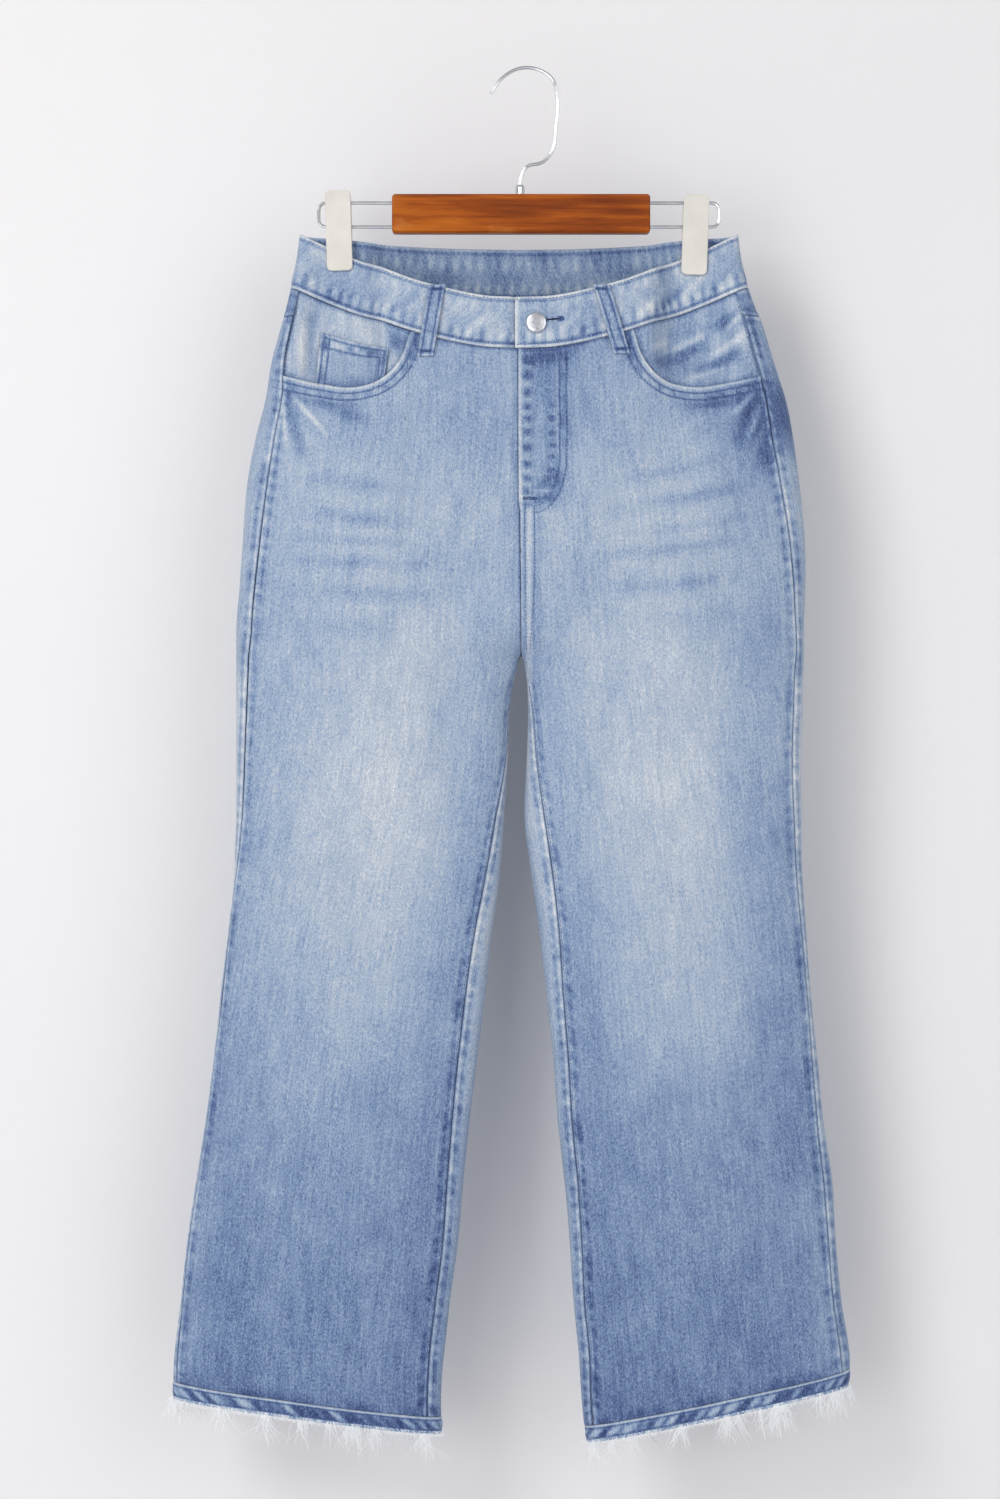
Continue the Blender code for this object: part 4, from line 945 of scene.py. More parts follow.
def front_relief(side, x, z, from_side, from_in, from_top, from_hem, along):
    """Small relief over a front panel, in metres outward."""
    relief = -0.0011 * whisker_field(side, x, z)[0]
    relief += 0.0006 * blotch(x, z, 0.050, 0.110, 13) + 0.0003 * blotch(x, z, 0.016, 0.034, 14)
    relief += edge_ridge(from_side, along, 11)
    relief += edge_ridge(from_in, along, 17) * (1 - fade(-z, 0.49, 0.53))
    relief += hem_relief(x, z, from_hem, 41)
    relief += 0.00035 * np.clip(wobble(along, 0.0075, 19), -0.2, 1) * bell(from_in - 0.007, 0.0040)
    rim, way = line_distance(x, z, pocket_line(side))
    relief += 0.0007 * bell(rim - 0.0016, 0.0016)
    relief -= 0.0004 * (bell(rim - 0.0053, 0.0010) + bell(rim - 0.0113, 0.0010))
    relief += 0.0004 * bell(rim - 0.0083, 0.0024) * beat(way, POCKET_PITCH, 191 + SIGN[side])
    fly = fade(-z, *FLY_END)
    if side == "right":
        row = fly_distance(x, z)
        relief += (0.0014 * fade(from_in, 0.0004, 0.0120) + 0.0004 * bell(from_in - 0.0012, 0.0012)) * fly
        relief += 0.0007 * bell(x - 0.0070, 0.0040) * beat(z, FLY_PITCH, 197) * fly
        relief -= 0.0003 * (bell(row, 0.0010) + bell(row - 0.0060, 0.0010)) * fade(x, 0.041, 0.047)
        relief -= 0.0012 * stroke(x, z, (0.0120, -0.3700), (0.0400, -0.3440), 0.0050)
    else:
        relief -= 0.0006 * fade(from_in, 0.0010, 0.0080) * fly
    for start, end, width, height in HIP_PULLS[side]:
        relief += height * stroke(x, z, start, end, width)
    return relief


def back_relief(side, x, z, from_side, from_in, from_top, from_hem, along):
    """Small relief over a back panel, in metres outward."""
    relief = 0.0007 * blotch(x, z, 0.055, 0.100, 15) + 0.0003 * blotch(x, z, 0.016, 0.034, 16)
    for height, tilt, _, depth in BACK_CREASES:
        relief -= 0.001 * depth * back_crease(side, x, z, height, tilt)
    relief += edge_ridge(from_side, along, 61) + edge_ridge(from_in, along, 67)
    relief += 0.7 * edge_ridge(from_top, x, 71)
    return relief + hem_relief(x, z, from_hem, 43)


def yoke_wash_and_shading(side, x, z, from_side, from_in, from_top, from_low, along):
    """Wash over a yoke, with two short bars at its outer end and painted shade beside its seams."""
    cloud = blotch(x + 0.9, z, 0.030, 0.030, 18) * 0.18 + blotch(x, z, 0.010, 0.012, 19) * 0.12
    pale_a, dark_a = seam_wear_and_shade(from_low, x, 81)
    pale_b, dark_b = seam_wear_and_shade(from_top, x, 83)
    pale_c, dark_c = seam_wear_and_shade(from_in, along, 85)
    sign = SIGN[side]
    bars = stroke(x, z, (sign * 0.196, -0.2040), (sign * 0.212, -0.2050), 0.0016)
    bars += stroke(x, z, (sign * 0.196, -0.2090), (sign * 0.214, -0.2100), 0.0013)
    darkening = 0.08 + 0.5 * (dark_a + dark_b + dark_c) + 0.225 * fade(from_side, 0.004, 0.040) + 0.4 * bars
    return wash_and_shading_stack(0.46 + 0.8 * cloud, darkening, 0.8 * np.maximum(pale_a, pale_b) + 0.7 * pale_c)


def yoke_relief(side, x, z, from_side, from_in, from_top, from_low, along):
    """Small relief over a yoke, in metres outward."""
    relief = 0.0004 * blotch(x, z, 0.024, 0.040, 20)
    return relief + edge_ridge(from_low, x, 81) + edge_ridge(from_in, along, 85)


def cloth_shell(kind, side, grid, wash_and_shading_of, relief_of):
    """A thin shell on a panel's form, with its relief and its colour shares, painted light and shade among
    them.
    """
    angle, z = grid
    flat = surface(side, angle, z)
    u, v = arc_grid(flat)
    from_in = u[:, -1:] - u
    facts = (side, flat[..., 0], flat[..., 2], u, from_in, v, v[-1:] - v, v + 3.0)
    points = flat + outward(side, angle, z) * relief_of(*facts)[..., None]
    if kind == "front" and side == "right":
        points[..., 0] -= 0.0011 * fade(from_in, 0.0003, 0.0030) * fade(-z, *FLY_END)
    wash_and_shading = wash_and_shading_of(*facts)
    uv = plan_uv(u - u[:, [u.shape[1] // 2]], flat[..., 2])
    if (side == "right") == (kind == "front"):
        points, wash_and_shading, uv = turned(points, wash_and_shading, uv)
    name = kind + "_" + side
    data = sheet_mesh("denim_" + name, points, uv, wash_and_shading)
    piece = add_piece("denim_" + name, data, DENIM, (name,), REVERSE, SHELL)
    return declare_cut(piece)


def make_panels():
    """Front panels, back panels and yokes as thin shells."""
    made = []
    for side in LEFT_RIGHT:
        start, end = partial(side_seam, side), partial(back_end, side)
        span, hem = (-1.19, -0.19), hem_z(side, -SEAM_GAP)
        columns = spaced(0.245, 0.0042, ((0, 0.006, 0.0009), (0.245, 0.012, 0.0010),
                                         (0.220, 0.016, 0.0015), (0.120, 0.010, 0.0017)))
        levels = spaced(0.90, 0.0050, ((0, 0.016, 0.0011), (0.070, 0.075, 0.0019),
                                       (0.90, 0.014, 0.0014)))
        grid = panel_grid(side, start, partial(inseam, side), front_top_z, hem, columns, levels, span)
        made.append(cloth_shell("front", side, grid, front_wash_and_shading, front_relief))
        columns = spaced(0.275, 0.0042, ((0, 0.006, 0.0011), (0.275, 0.007, 0.0011)))
        levels = spaced(0.88, 0.0045, ((0, 0.006, 0.0013), (0.88, 0.014, 0.0016)))
        grid = panel_grid(side, start, end, lambda x, f: yoke_seam_z(x, f) - SEAM_GAP, hem,
                          columns, levels, span)
        made.append(cloth_shell("back", side, grid, back_wash_and_shading, back_relief))
        columns = spaced(0.22, 0.0040, ((0, 0.006, 0.0011), (0.22, 0.007, 0.0012)))
        grid = panel_grid(side, start, end, lambda x, f: waist_seam_z(x, f) - WAIST_GAP, yoke_seam_z,
                          columns, spaced(0.04, 0.0022, ()), (-0.30, -0.16))
        made.append(cloth_shell("yoke", side, grid, yoke_wash_and_shading, yoke_relief))
    return made


DENIM = denim_material("denim_washed")
BEARER = denim_material("bearer_cloth", 0.04)
DENIM_PLAIN = denim_material("denim_plain", wash_and_shading=False)
REVERSE = denim_material("denim_reverse", 0.0,
                         ((0.00, (96, 108, 136)), (0.35, (138, 150, 174)), (0.60, (166, 176, 194)),
                          (1.00, (204, 209, 218))), wash_and_shading=False)


def plain_material(name, colour, roughness, metallic=0.0, grain=0.0, scale=60.0, coat=0.0):
    """A moulded or metal finish with faint unevenness."""
    n = Nodes(name)
    place = n.add("ShaderNodeNewGeometry").outputs["Position"]
    cloud = n.noise(place, scale, 3.0, 0.6)
    tint = [min(255, c * (1 + grain)) for c in colour]
    shade = [c * (1 - grain) for c in colour]
    colour = n.ramp(cloud, ((0.30, shade), (0.70, tint)))
    rough = n.math("MULTIPLY_ADD", cloud, 0.16, roughness - 0.08)
    normal = n.bump(n.noise(place, scale * 9, 2.0), 0.00008, 0.5)
    return n.out(Base_Color=colour, Roughness=rough, Metallic=metallic, Normal=normal,
                 Coat_Weight=coat, Coat_Roughness=0.2)


def wood_material():
    """Worn orange-brown varnish over a fine straight grain along x."""
    n = Nodes("varnished_wood")
    place = n.add("ShaderNodeNewGeometry").outputs["Position"]
    grain = n.noise(n.stretch(place, (9.0, 150.0, 150.0)), 1.0, 5.0, 0.62, 0.6)
    band = n.noise(n.stretch(place, (3.0, 26.0, 26.0)), 1.0, 3.0, 0.5, 1.2)
    wear = n.noise(n.stretch(place, (14.0, 30.0, 30.0)), 1.0, 4.0, 0.65)
    tone = n.math("MULTIPLY_ADD", n.math("SUBTRACT", band, 0.5), 0.9, grain)
    colour = n.ramp(tone, ((0.20, (98, 38, 2)), (0.42, (140, 64, 4)), (0.58, (168, 84, 8)),
                           (0.85, (192, 108, 22))))
    pale = n.ramp(wear, ((0.60, (0, 0, 0)), (0.74, (255, 255, 255))))
    colour = n.mix(n.math("MULTIPLY", pale, 0.30), colour, srgb(214, 150, 78))
    normal = n.bump(grain, 0.0003, 0.4)
    rough = n.math("MULTIPLY_ADD", grain, 0.25, 0.22)
    return n.out(Base_Color=colour, Roughness=rough, Normal=normal, Coat_Weight=0.06,
                 Coat_Roughness=0.18, Specular_IOR_Level=0.22)


WOOD = wood_material()
STEEL = plain_material("bright_steel", (206, 208, 212), 0.24, 1.0, 0.05, 90.0)
CREAM = plain_material("cream_plastic", (215, 211, 204), 0.42, 0.0, 0.03, 40.0, 0.12)
BUTTON_METAL = plain_material("button_silver", (205, 207, 212), 0.30, 1.0, 0.06, 300.0)
TAPE = plain_material("zip_tape_cloth", (64, 84, 124), 0.9, 0.0, 0.12, 700.0)
THREAD = plain_material("thread_tonal", (70, 96, 150), 0.8, 0.0, 0.20, 900.0)
# Painted shade: a dark sheet laid in the buttonhole's cut.
SLIT_SHADE = plain_material("slit_painted_shade", (30, 38, 62), 0.95, 0.0, 0.10, 900.0)
FRAY = plain_material("fray_thread", (240, 242, 244), 0.9, 0.0, 0.04, 500.0)
# The fray threads glow faintly: painted light that brightens them as if lit.
FRAY_GLOW_SHADER = FRAY.node_tree.nodes["Principled BSDF"]
FRAY_GLOW_SHADER.inputs["Emission Color"].default_value = srgb(240, 243, 248)
FRAY_GLOW_SHADER.inputs["Emission Strength"].default_value = 0.13


def wall_material():
    """A pale painted wall that is clear from behind."""
    n = Nodes("pale_wall")
    place = n.add("ShaderNodeNewGeometry").outputs["Position"]
    shade = n.ramp(n.noise(place, 1.3, 2.0), ((0.3, (229, 228, 229)), (0.7, (233, 232, 233))))
    look = n.out(Base_Color=shade, Roughness=0.95)
    seen_behind = n.add("ShaderNodeNewGeometry").outputs["Backfacing"]
    clear = n.add("ShaderNodeBsdfTransparent").outputs[0]
    mixed = n.add("ShaderNodeMixShader", {0: seen_behind, 1: n.shader.outputs[0], 2: clear})
    n.feed(n.tree.nodes["Material Output"].inputs["Surface"], mixed.outputs[0])
    return look


# The wall: the floor's height, how far back it stands and the radius of the bend between
FLOOR_Z, WALL_Y, WALL_BEND = -1.62, 0.115, 0.30
# Lamps: name, place, size, power and colour
LAMPS = (("key", (-1.7, -2.6, 1.1), 1.2, 37.8, (1.0, 0.985, 0.965)),
         ("fill", (1.9, -2.8, 0.2), 2.4, 23.0, (0.985, 0.99, 1.0)),
         ("under", (-1.3, -2.95, -0.8), 1.5, 21.5, (1, 1, 1)),
         ("behind", (1.1, 2.6, 0.5), 2.0, 15.0, (1, 1, 1)))


def put(name, data, place=(0, 0, 0)):
    """Link an object of the stage to the scene."""
    obj = bpy.data.objects.new(name, data)
    obj.location = place
    bpy.context.scene.collection.objects.link(obj)
    return obj


def make_stage():
    """The photograph's view, a pale wall and floor, and soft studio light."""
    scene = bpy.context.scene
    scene.view_settings.view_transform = "Standard"
    lens = bpy.data.cameras.new("camera")
    lens.sensor_width = 36.0
    lens.lens = 36.0 * 2.5 / 1.289
    lens.clip_end = 60
    scene.camera = put("camera", lens, (-0.0163, -2.5, -0.5844))
    scene.camera.rotation_euler = (math.radians(90), 0, 0)
    look = wall_material()
    profile = [(-5.0, FLOOR_Z)]
    for a in np.linspace(0, math.pi / 2, 25):
        profile.append((WALL_Y - WALL_BEND + WALL_BEND * math.sin(a),
                        FLOOR_Z + WALL_BEND - WALL_BEND * math.cos(a)))
    profile.append((WALL_Y, 3.2))
    floor = [(WALL_Y - WALL_BEND, FLOOR_Z - 0.001), (7.0, FLOOR_Z - 0.001)]
    for name, line in (("backdrop", profile), ("floor_behind", floor)):
        points = np.array([[[x, y, z] for x in (6.0, -6.0)] for y, z in line])
        obj = put(name, sheet_mesh(name, points, points[..., :2] * 0, points * 0))
        obj.data.materials.append(look)
        obj.visible_shadow = False
    for name, place, size, power, colour in LAMPS:
        lamp = bpy.data.lights.new(name, "AREA")
        lamp.size, lamp.energy, lamp.color = size, power, colour
        aim = Vector((0, 0, -0.6)) - Vector(place)
        put(name, lamp, place).rotation_euler = aim.to_track_quat("-Z", "Y").to_euler()
    world = bpy.data.worlds.new("studio")
    world.use_nodes = True
    sky = world.node_tree.nodes["Background"]
    sky.inputs[0].default_value = srgb(240, 240, 242)
    sky.inputs[1].default_value = 0.54
    scene.world = world


def dress_nodes():
    """Better materials on the CAD nodes whose shape stays."""
    looks = {"hanger_bar": WOOD, "hanger_hook": STEEL, "hook_collar": STEEL, "button": BUTTON_METAL,
             "zip": TAPE, "fringe": FRAY, "hanger_arm": STEEL, "clip_slider": STEEL,
             "clip_front": CREAM, "clip_back": CREAM}
    for name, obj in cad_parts.items():
        kind = name.removesuffix("_left").removesuffix("_right")
        for place in obj.material_slots:
            place.material = looks.get(kind, DENIM_PLAIN)


def ring_mesh(name, points, uv, wash_and_shading, closed_rows=False):
    """A mesh of a grid closed along its columns, and along its rows where asked."""
    rows, columns = points.shape[:2]
    index = np.arange(rows * columns).reshape(rows, columns)
    below = np.roll(index, -1, axis=0) if closed_rows else index[1:]
    above = index if closed_rows else index[:-1]
    quads = np.stack([above, below, np.roll(below, -1, axis=1), np.roll(above, -1, axis=1)], axis=-1)
    quads = quads.reshape(-1, 4)
    verts = points.reshape(-1, 3)
    a, b, c, d = (verts[quads[:, k]] for k in range(4))
    if np.sum(a * np.cross(b, c)) + np.sum(a * np.cross(c, d)) < 0:
        quads = quads[:, ::-1]
    data = raw_mesh(name, verts, quads, uv.reshape(-1, 2), wash_and_shading.reshape(-1, 3))
    weld = bmesh.new()
    weld.from_mesh(data)
    bmesh.ops.remove_doubles(weld, verts=weld.verts, dist=1e-6)
    weld.to_mesh(data)
    weld.free()
    return data


# Points round the fold at each edge of a strip
FOLD_TURNS = 3


def strip_grid(points, normal, thickness, relief, inner_relief, wash_and_shading, inner_wash, uv, caps=True):
    """Section loops of a folded strip.

    points run down the rows and along the columns of its outer face. Each column
    becomes one loop: down the outer face, round the low edge, up the inner face and
    round the top edge.
    """
    half = thickness / 2
    outer = points + normal * relief[..., None]
    inner = points - normal * (thickness + inner_relief)[..., None]
    angles = np.linspace(0, math.pi, FOLD_TURNS + 2)[1:-1]

    def fold(row, other, angles):
        away = points[row] - points[other]
        away /= np.linalg.norm(away, axis=-1, keepdims=True)
        cosine, sine = np.cos(angles)[:, None, None], np.sin(angles)[:, None, None]
        bend = (outer[row] + inner[row] + (outer[row] - inner[row]) * cosine) / 2 + away * half * sine
        share = 0.5 + 0.5 * cosine
        return bend, wash_and_shading[row] * share + inner_wash[row] * (1 - share), uv[[row] * len(angles)]

    parts = zip((outer, wash_and_shading, uv), fold(-1, -2, angles), (inner[::-1], inner_wash[::-1], uv[::-1]),
                fold(0, 1, angles[::-1]))
    grids = [np.concatenate(part).swapaxes(0, 1) for part in parts]
    for end, nearby in ((0, 1), (-1, -2)) if caps else ():
        rim = grids[0][end]
        line = (outer[:, end] + inner[:, end]) / 2
        middle = np.concatenate([line, line[[-1] * FOLD_TURNS], line[::-1], line[[0] * FOLD_TURNS]])
        away = np.mean(rim - grids[0][nearby], axis=0)
        away /= np.linalg.norm(away)
        cap = np.stack([middle + (rim - middle) * math.sqrt(1 - t * t) + away * half * 0.8 * t
                        for t in (0.55, 0.9, 1.0)])
        tips = (cap, grids[1][[end] * 3], grids[2][[end] * 3])
        if end == 0:
            grids = [np.concatenate([tip[::-1], grid]) for tip, grid in zip(tips, grids)]
        else:
            grids = [np.concatenate([grid, tip]) for tip, grid in zip(tips, grids)]
    loops, washes_and_shading, uvs = grids
    return loops, uvs, washes_and_shading


# The waistband: its thickness, the ends of its two halves and the step of the lap
BAND = 0.0030
BAND_OVERLAP_X = -0.0034
BAND_UNDERLAP_X = 0.0360
BAND_STEP_X = (-0.0075, -0.0042)
# Creases across the front of the waistband: start, end, half width and height
BAND_CREASES = (
    ((0.028, -0.236), (0.058, -0.206), 0.0030, 0.0011),
    ((0.040, -0.240), (0.072, -0.214), 0.0028, -0.0010),
    ((0.098, -0.222), (0.128, -0.186), 0.0034, 0.0012),
    ((0.112, -0.218), (0.146, -0.182), 0.0030, -0.0010),
    ((0.128, -0.208), (0.166, -0.172), 0.0034, 0.0010),
    ((0.160, -0.200), (0.186, -0.166), 0.0030, -0.0009),
    ((-0.050, -0.238), (-0.022, -0.210), 0.0034, 0.0007),
    ((-0.118, -0.212), (-0.100, -0.192), 0.0034, 0.0006),
)


def band_field(x, z, front, up, down, along):
    """Relief and wash of the waistband's outer face. up and down are the ways to its edges."""
    relief = np.zeros(x.shape)
    ridge = np.zeros(x.shape)
    for start, end, width, height in BAND_CREASES:
        mark = stroke(x, z, start, end, width) * front
        relief += height * mark
        ridge += np.sign(height) * mark
    pucker = 0.7 * beat(along, 0.0105, 101) + 0.5 * wobble(along, 0.0060, 102)
    low = unit(0.35 + 0.9 * pucker) * bell(down - 0.0080, 0.0050)
    high = unit(0.35 + 0.8 * beat(along, 0.0120, 103)) * bell(up - 0.0075, 0.0045)
    relief += 0.0007 * low + 0.0004 * high - 0.0004 * bell(down - 0.0030, 0.0011)
    relief -= 0.0005 * bell(up - 0.0024, 0.0009)
    cloud = 0.24 * blotch(along, z, 0.012, 0.011, 104) + 0.16 * blotch(along, z, 0.030, 0.022, 105)
    darkening = 0.02 + 0.66 * unit(-pucker) * bell(down - 0.0080, 0.0060) + 0.55 * unit(-ridge)
    darkening += 0.75 * bell(up - 0.0026, 0.0010) + 0.85 * bell(down - 0.0028, 0.0012)
    worn = 0.95 * bell(up - 0.0002, 0.0013) + 0.62 * low + 0.36 * high + 0.50 * unit(ridge)
    return relief, wash_and_shading_stack(0.58 + cloud, darkening, worn + 0.75 * bell(down, 0.0011))


def band_inside(x, z, front, up, down, along):
    """Relief and wash of the waistband's inner face."""
    high = unit(0.25 + 0.8 * beat(along, 0.0105, 107)) * bell(up - 0.0130, 0.0062)
    low = unit(0.25 + 0.8 * beat(along, 0.0098, 109)) * bell(down - 0.0100, 0.0045)
    dots = unit(0.5 + 1.2 * np.sin(along * 2 * math.pi / 0.0035))
    darkening = 0.52 + (0.40 + 0.50 * dots) * bell(up - 0.0028, 0.0012) + 0.70 * bell(down - 0.0045, 0.0012)
    darkening += 0.10 * blotch(along, z, 0.016, 0.014, 108) - 0.18 * high - 0.20 * low
    worn = 0.40 * high + 0.62 * low + 0.45 * bell(up, 0.0014)
    paleness = 0.60 + 0.15 * blotch(along, z, 0.014, 0.020, 110)
    return 0.0006 * (high + low), wash_and_shading_stack(paleness, darkening, worn)


def make_waistband():
    """One folded strip round the waist, lapped at the front."""
    reach = {"right": BAND_OVERLAP_X + 0.0009, "left": BAND_UNDERLAP_X - 0.0009}
    levels = spaced(0.044, 0.0030, ((0, 0.004, 0.0010), (0.044, 0.004, 0.0010)))
    halves = []
    for side in ("right", "left"):
        angle, z = panel_grid(
            side, lambda h: angle_at_x(side, reach[side] + 0 * h, h),
            lambda h: -angle_at_x(side, 0 * h, h), lambda x, f: waist_top_z(x, f) - 0.0013,
            lambda x, f: waist_seam_z(x, f) + 0.0013, np.linspace(0, 1, 210), levels, (-0.26, -0.13))
        points = surface(side, angle, z)
        normal = outward(side, angle, z)
        front = (np.sin(angle) > 0) * 1.0
        if side == "left":
            lap = (1 - fade(points[..., 0], *BAND_STEP_X)) * front * (BAND + SEAM_GAP)
            halves.append(turned(points - normal * lap[..., None], normal, front))
        else:
            halves.append((points[:, :-1], normal[:, :-1], front[:, :-1]))
    points, normal, front = (np.concatenate(pair, axis=1) for pair in zip(*halves))
    u, v = arc_grid(points)
    along = np.broadcast_to(u[len(u) // 2], u.shape) + 2.0
    facts = (points[..., 0], points[..., 2], front, v, v[-1:] - v, along)
    relief, wash_and_shading = band_field(*facts)
    inner_relief, inner_wash = band_inside(*facts)
    end = fade(u, 0.0, 0.0035)
    wash_and_shading[..., 2] = unit(wash_and_shading[..., 2] + 0.9 * end)
    wash_and_shading[..., 1] *= 1 - 0.7 * end
    piece = cloth_strip("denim_waistband", "waistband", points, normal, BAND,
                        (relief * 0.8, inner_relief * 0.6), (wash_and_shading, inner_wash), plan_uv(u, points[..., 2]))
    return declare_cut(piece)


def cloth_strip(data_name, name, points, normal, thickness, reliefs, washes_and_shading, uv, closed=False):
    """A folded strip as one piece. reliefs and the colour shares are those of its outer and inner face."""
    loops, uvs, paint = strip_grid(points, normal, thickness, *reliefs, *washes_and_shading, uv, caps=not closed)
    data = ring_mesh(data_name, loops, uvs, paint, closed_rows=closed)
    return add_piece("denim_" + name.replace("belt_", ""), data, DENIM, (name,))


def cloth_patch(data_name, name, points, wash_and_shading, uv, look, thickness):
    """A patch of cloth with its reverse as one piece."""
    data = sheet_mesh(data_name, points, uv, wash_and_shading)
    return add_piece("denim_" + name.replace("pocket_bearer", "bearer"), data, look, (name,),
                     REVERSE, thickness)


def loop_push(v):
    """A belt loop lies close at its ends and stands off between them."""
    return SEAM_GAP + 0.0020 + 0.0016 * np.sin(np.pi * v) ** 0.7


def loop_ends(face, top_x, low_x):
    """Heights of the upper and the lower end of a belt loop."""
    is_front = face == "front"
    return (float(waist_top_z(np.array(top_x), is_front)) - 0.0005,
            float(waist_seam_z(np.array(low_x), is_front)) - 0.0180)


def face_points(side, face, x, z):
    """Points and normals on one face at x, z."""
    angle = angle_at_x(side, x, z)
    if face == "back":
        angle = -angle
    return surface(side, angle, z), outward(side, angle, z)


# Thickness of a belt loop
LOOP = 0.0018


def make_loops():
    """Two belt loops at the front and three at the back."""
    half = 0.0135 / 2 - 0.0006
    made = []
    v, u = np.meshgrid(np.linspace(0, 1, 46), np.linspace(-1, 1, 15), indexing="ij")
    for k, (name, side, face, top_x, low_x) in enumerate(LOOPS):
        top, low = loop_ends(face, top_x, low_x)
        x = top_x + (low_x - top_x) * v + half * u
        z = top + (low - top) * v
        points, normal = face_points(side, face, x, z)
        points += normal * loop_push(v)[..., None]
        from_side = (1 - np.abs(u)) * half
        ends = np.minimum(v, 1 - v) * (top - low)
        along = v * (top - low) + 0.1 * k
        pale = unit(0.65 + 0.5 * wobble(along, 0.004, 121 + k)) * bell(from_side, 0.0010)
        rows = bell(from_side - 0.0023, 0.0006)
        bars = np.maximum(bell(ends - 0.0030, 0.0013), bell(ends + 0.001, 0.0008))
        darkening = 0.34 + 0.62 * rows + 0.75 * bars + 0.22 * blotch(x, z, 0.004, 0.006, 130 + k)
        worn = 1.15 * pale + 0.65 * bell(ends, 0.0010) + 0.30 * bell(np.abs(u), 0.35)
        wash_and_shading = wash_and_shading_stack(0.48, darkening, worn)
        relief = 0.00025 * bell(from_side - 0.0008, 0.0008) - 0.0003 * rows - 0.0002 * bars
        piece = cloth_strip("belt_loop_" + name + "_cloth", "belt_loop_" + name, points, normal, LOOP,
                            (relief, 0 * relief), (wash_and_shading, wash_and_shading * 0 + 0.3), plan_uv(x, z))
        made.append(declare_cut(piece))
    return made


# Creases in the cloth of the pocket bearers: start, end, half width and height
BEARER_CREASES = {
    "left": [((x, -0.198), (x - 0.006, -0.272), width, height) for x, width, height in
             ((-0.181, 0.0035, 1.0), (-0.1725, 0.0028, -0.6), (-0.150, 0.004, 0.5))],
    "right": (((0.118, -0.256), (0.160, -0.236), 0.0042, -1.0),
              ((0.126, -0.246), (0.170, -0.222), 0.0034, 0.9),
              ((0.150, -0.262), (0.192, -0.242), 0.0042, -0.9),
              ((0.160, -0.250), (0.197, -0.226), 0.0036, 0.9),
              ((0.158, -0.230), (0.188, -0.208), 0.0040, -1.1),
              ((0.140, -0.268), (0.176, -0.256), 0.0030, 0.7),
              ((0.112, -0.244), (0.134, -0.232), 0.0030, 0.6),
              ((0.176, -0.226), (0.196, -0.204), 0.0030, 0.7)),
}


def make_bearer(side):
    """The pale cloth behind one pocket opening."""
    inner_x = SIGN[side] * (POCKET_EDGE[0][0] - 0.0150)
    height, wear, under, shade = {"left": (0.0007, 0.75, 0.0050, 0.0),
                                  "right": (0.0010, 0.95, 0.0024, 0.26)}[side]
    angle, z = panel_grid(
        side, lambda h: 0.90 * side_seam(side, h), lambda h: angle_at_x(side, inner_x + 0 * h, h),
        lambda x, f: waist_seam_z(x, True) - WAIST_GAP, lambda x, f: pocket_edge_z(x) - 0.0150,
        np.linspace(0, 1, 84), np.linspace(0, 1, 64), (-0.31, -0.18))
    flat = surface(side, angle, z)
    normal = outward(side, angle, z)
    x, z = flat[..., 0], flat[..., 2]
    u, v = arc_grid(flat)
    rim, _ = line_distance(x, z, pocket_line(side))
    sunk = (1 - fade(u, 0.002, 0.030) * 0.6) * (1 - fade(v, 0.001, 0.016) * 0.6)
    inset = 0.0016 + (under - 0.0016) * sunk
    relief = np.zeros(x.shape)
    # Painted shade: darker beside the pocket rim and at the edges where the bearer runs under the front
    # panel and the waistband.
    darkening = 0.14 + shade + 0.30 * blotch(x, z, 0.010, 0.018, 140) + 0.55 * fade(rim, 0.0, 0.007)
    darkening += 0.60 * fade(u, 0.0, 0.0065) + 0.70 * fade(v, 0.0, 0.0040)
    worn = unit(0.10 + 0.45 * blotch(x, z, 0.007, 0.026, 141))
    # Each crease is paler along its ridge and darker in its trough, by the same strength.
    for start, end, width, rise in BEARER_CREASES[side]:
        mark = stroke(x, z, start, end, width)
        relief += height * rise * mark
        worn += wear * unit(rise) * mark
        darkening += wear * unit(-rise) * mark
    if side == "left":
        darkening += 0.7 * patch(x, z, (-0.104, -0.238), (0.007, 0.010))
    points = flat + normal * (relief * 0.6 - inset)[..., None]
    wash_and_shading, uv = wash_and_shading_stack(0.62, darkening, worn), plan_uv(x, z)
    if side == "right":
        points, wash_and_shading, uv = turned(points, wash_and_shading, uv)
    piece = cloth_patch("bearer_cloth_" + side, "pocket_bearer_" + side, points, wash_and_shading, uv, BEARER,
                        BEARER_SHELL)
    return declare_cut(piece)


def coin_place(u, v):
    """x, z at shares across and down the coin pocket."""
    u, v = np.asarray(u)[..., None], np.asarray(v)[..., None]
    a, b, c, d = COIN_CORNERS
    return (1 - u) * (1 - v) * a + u * (1 - v) * b + u * v * c + (1 - u) * v * d


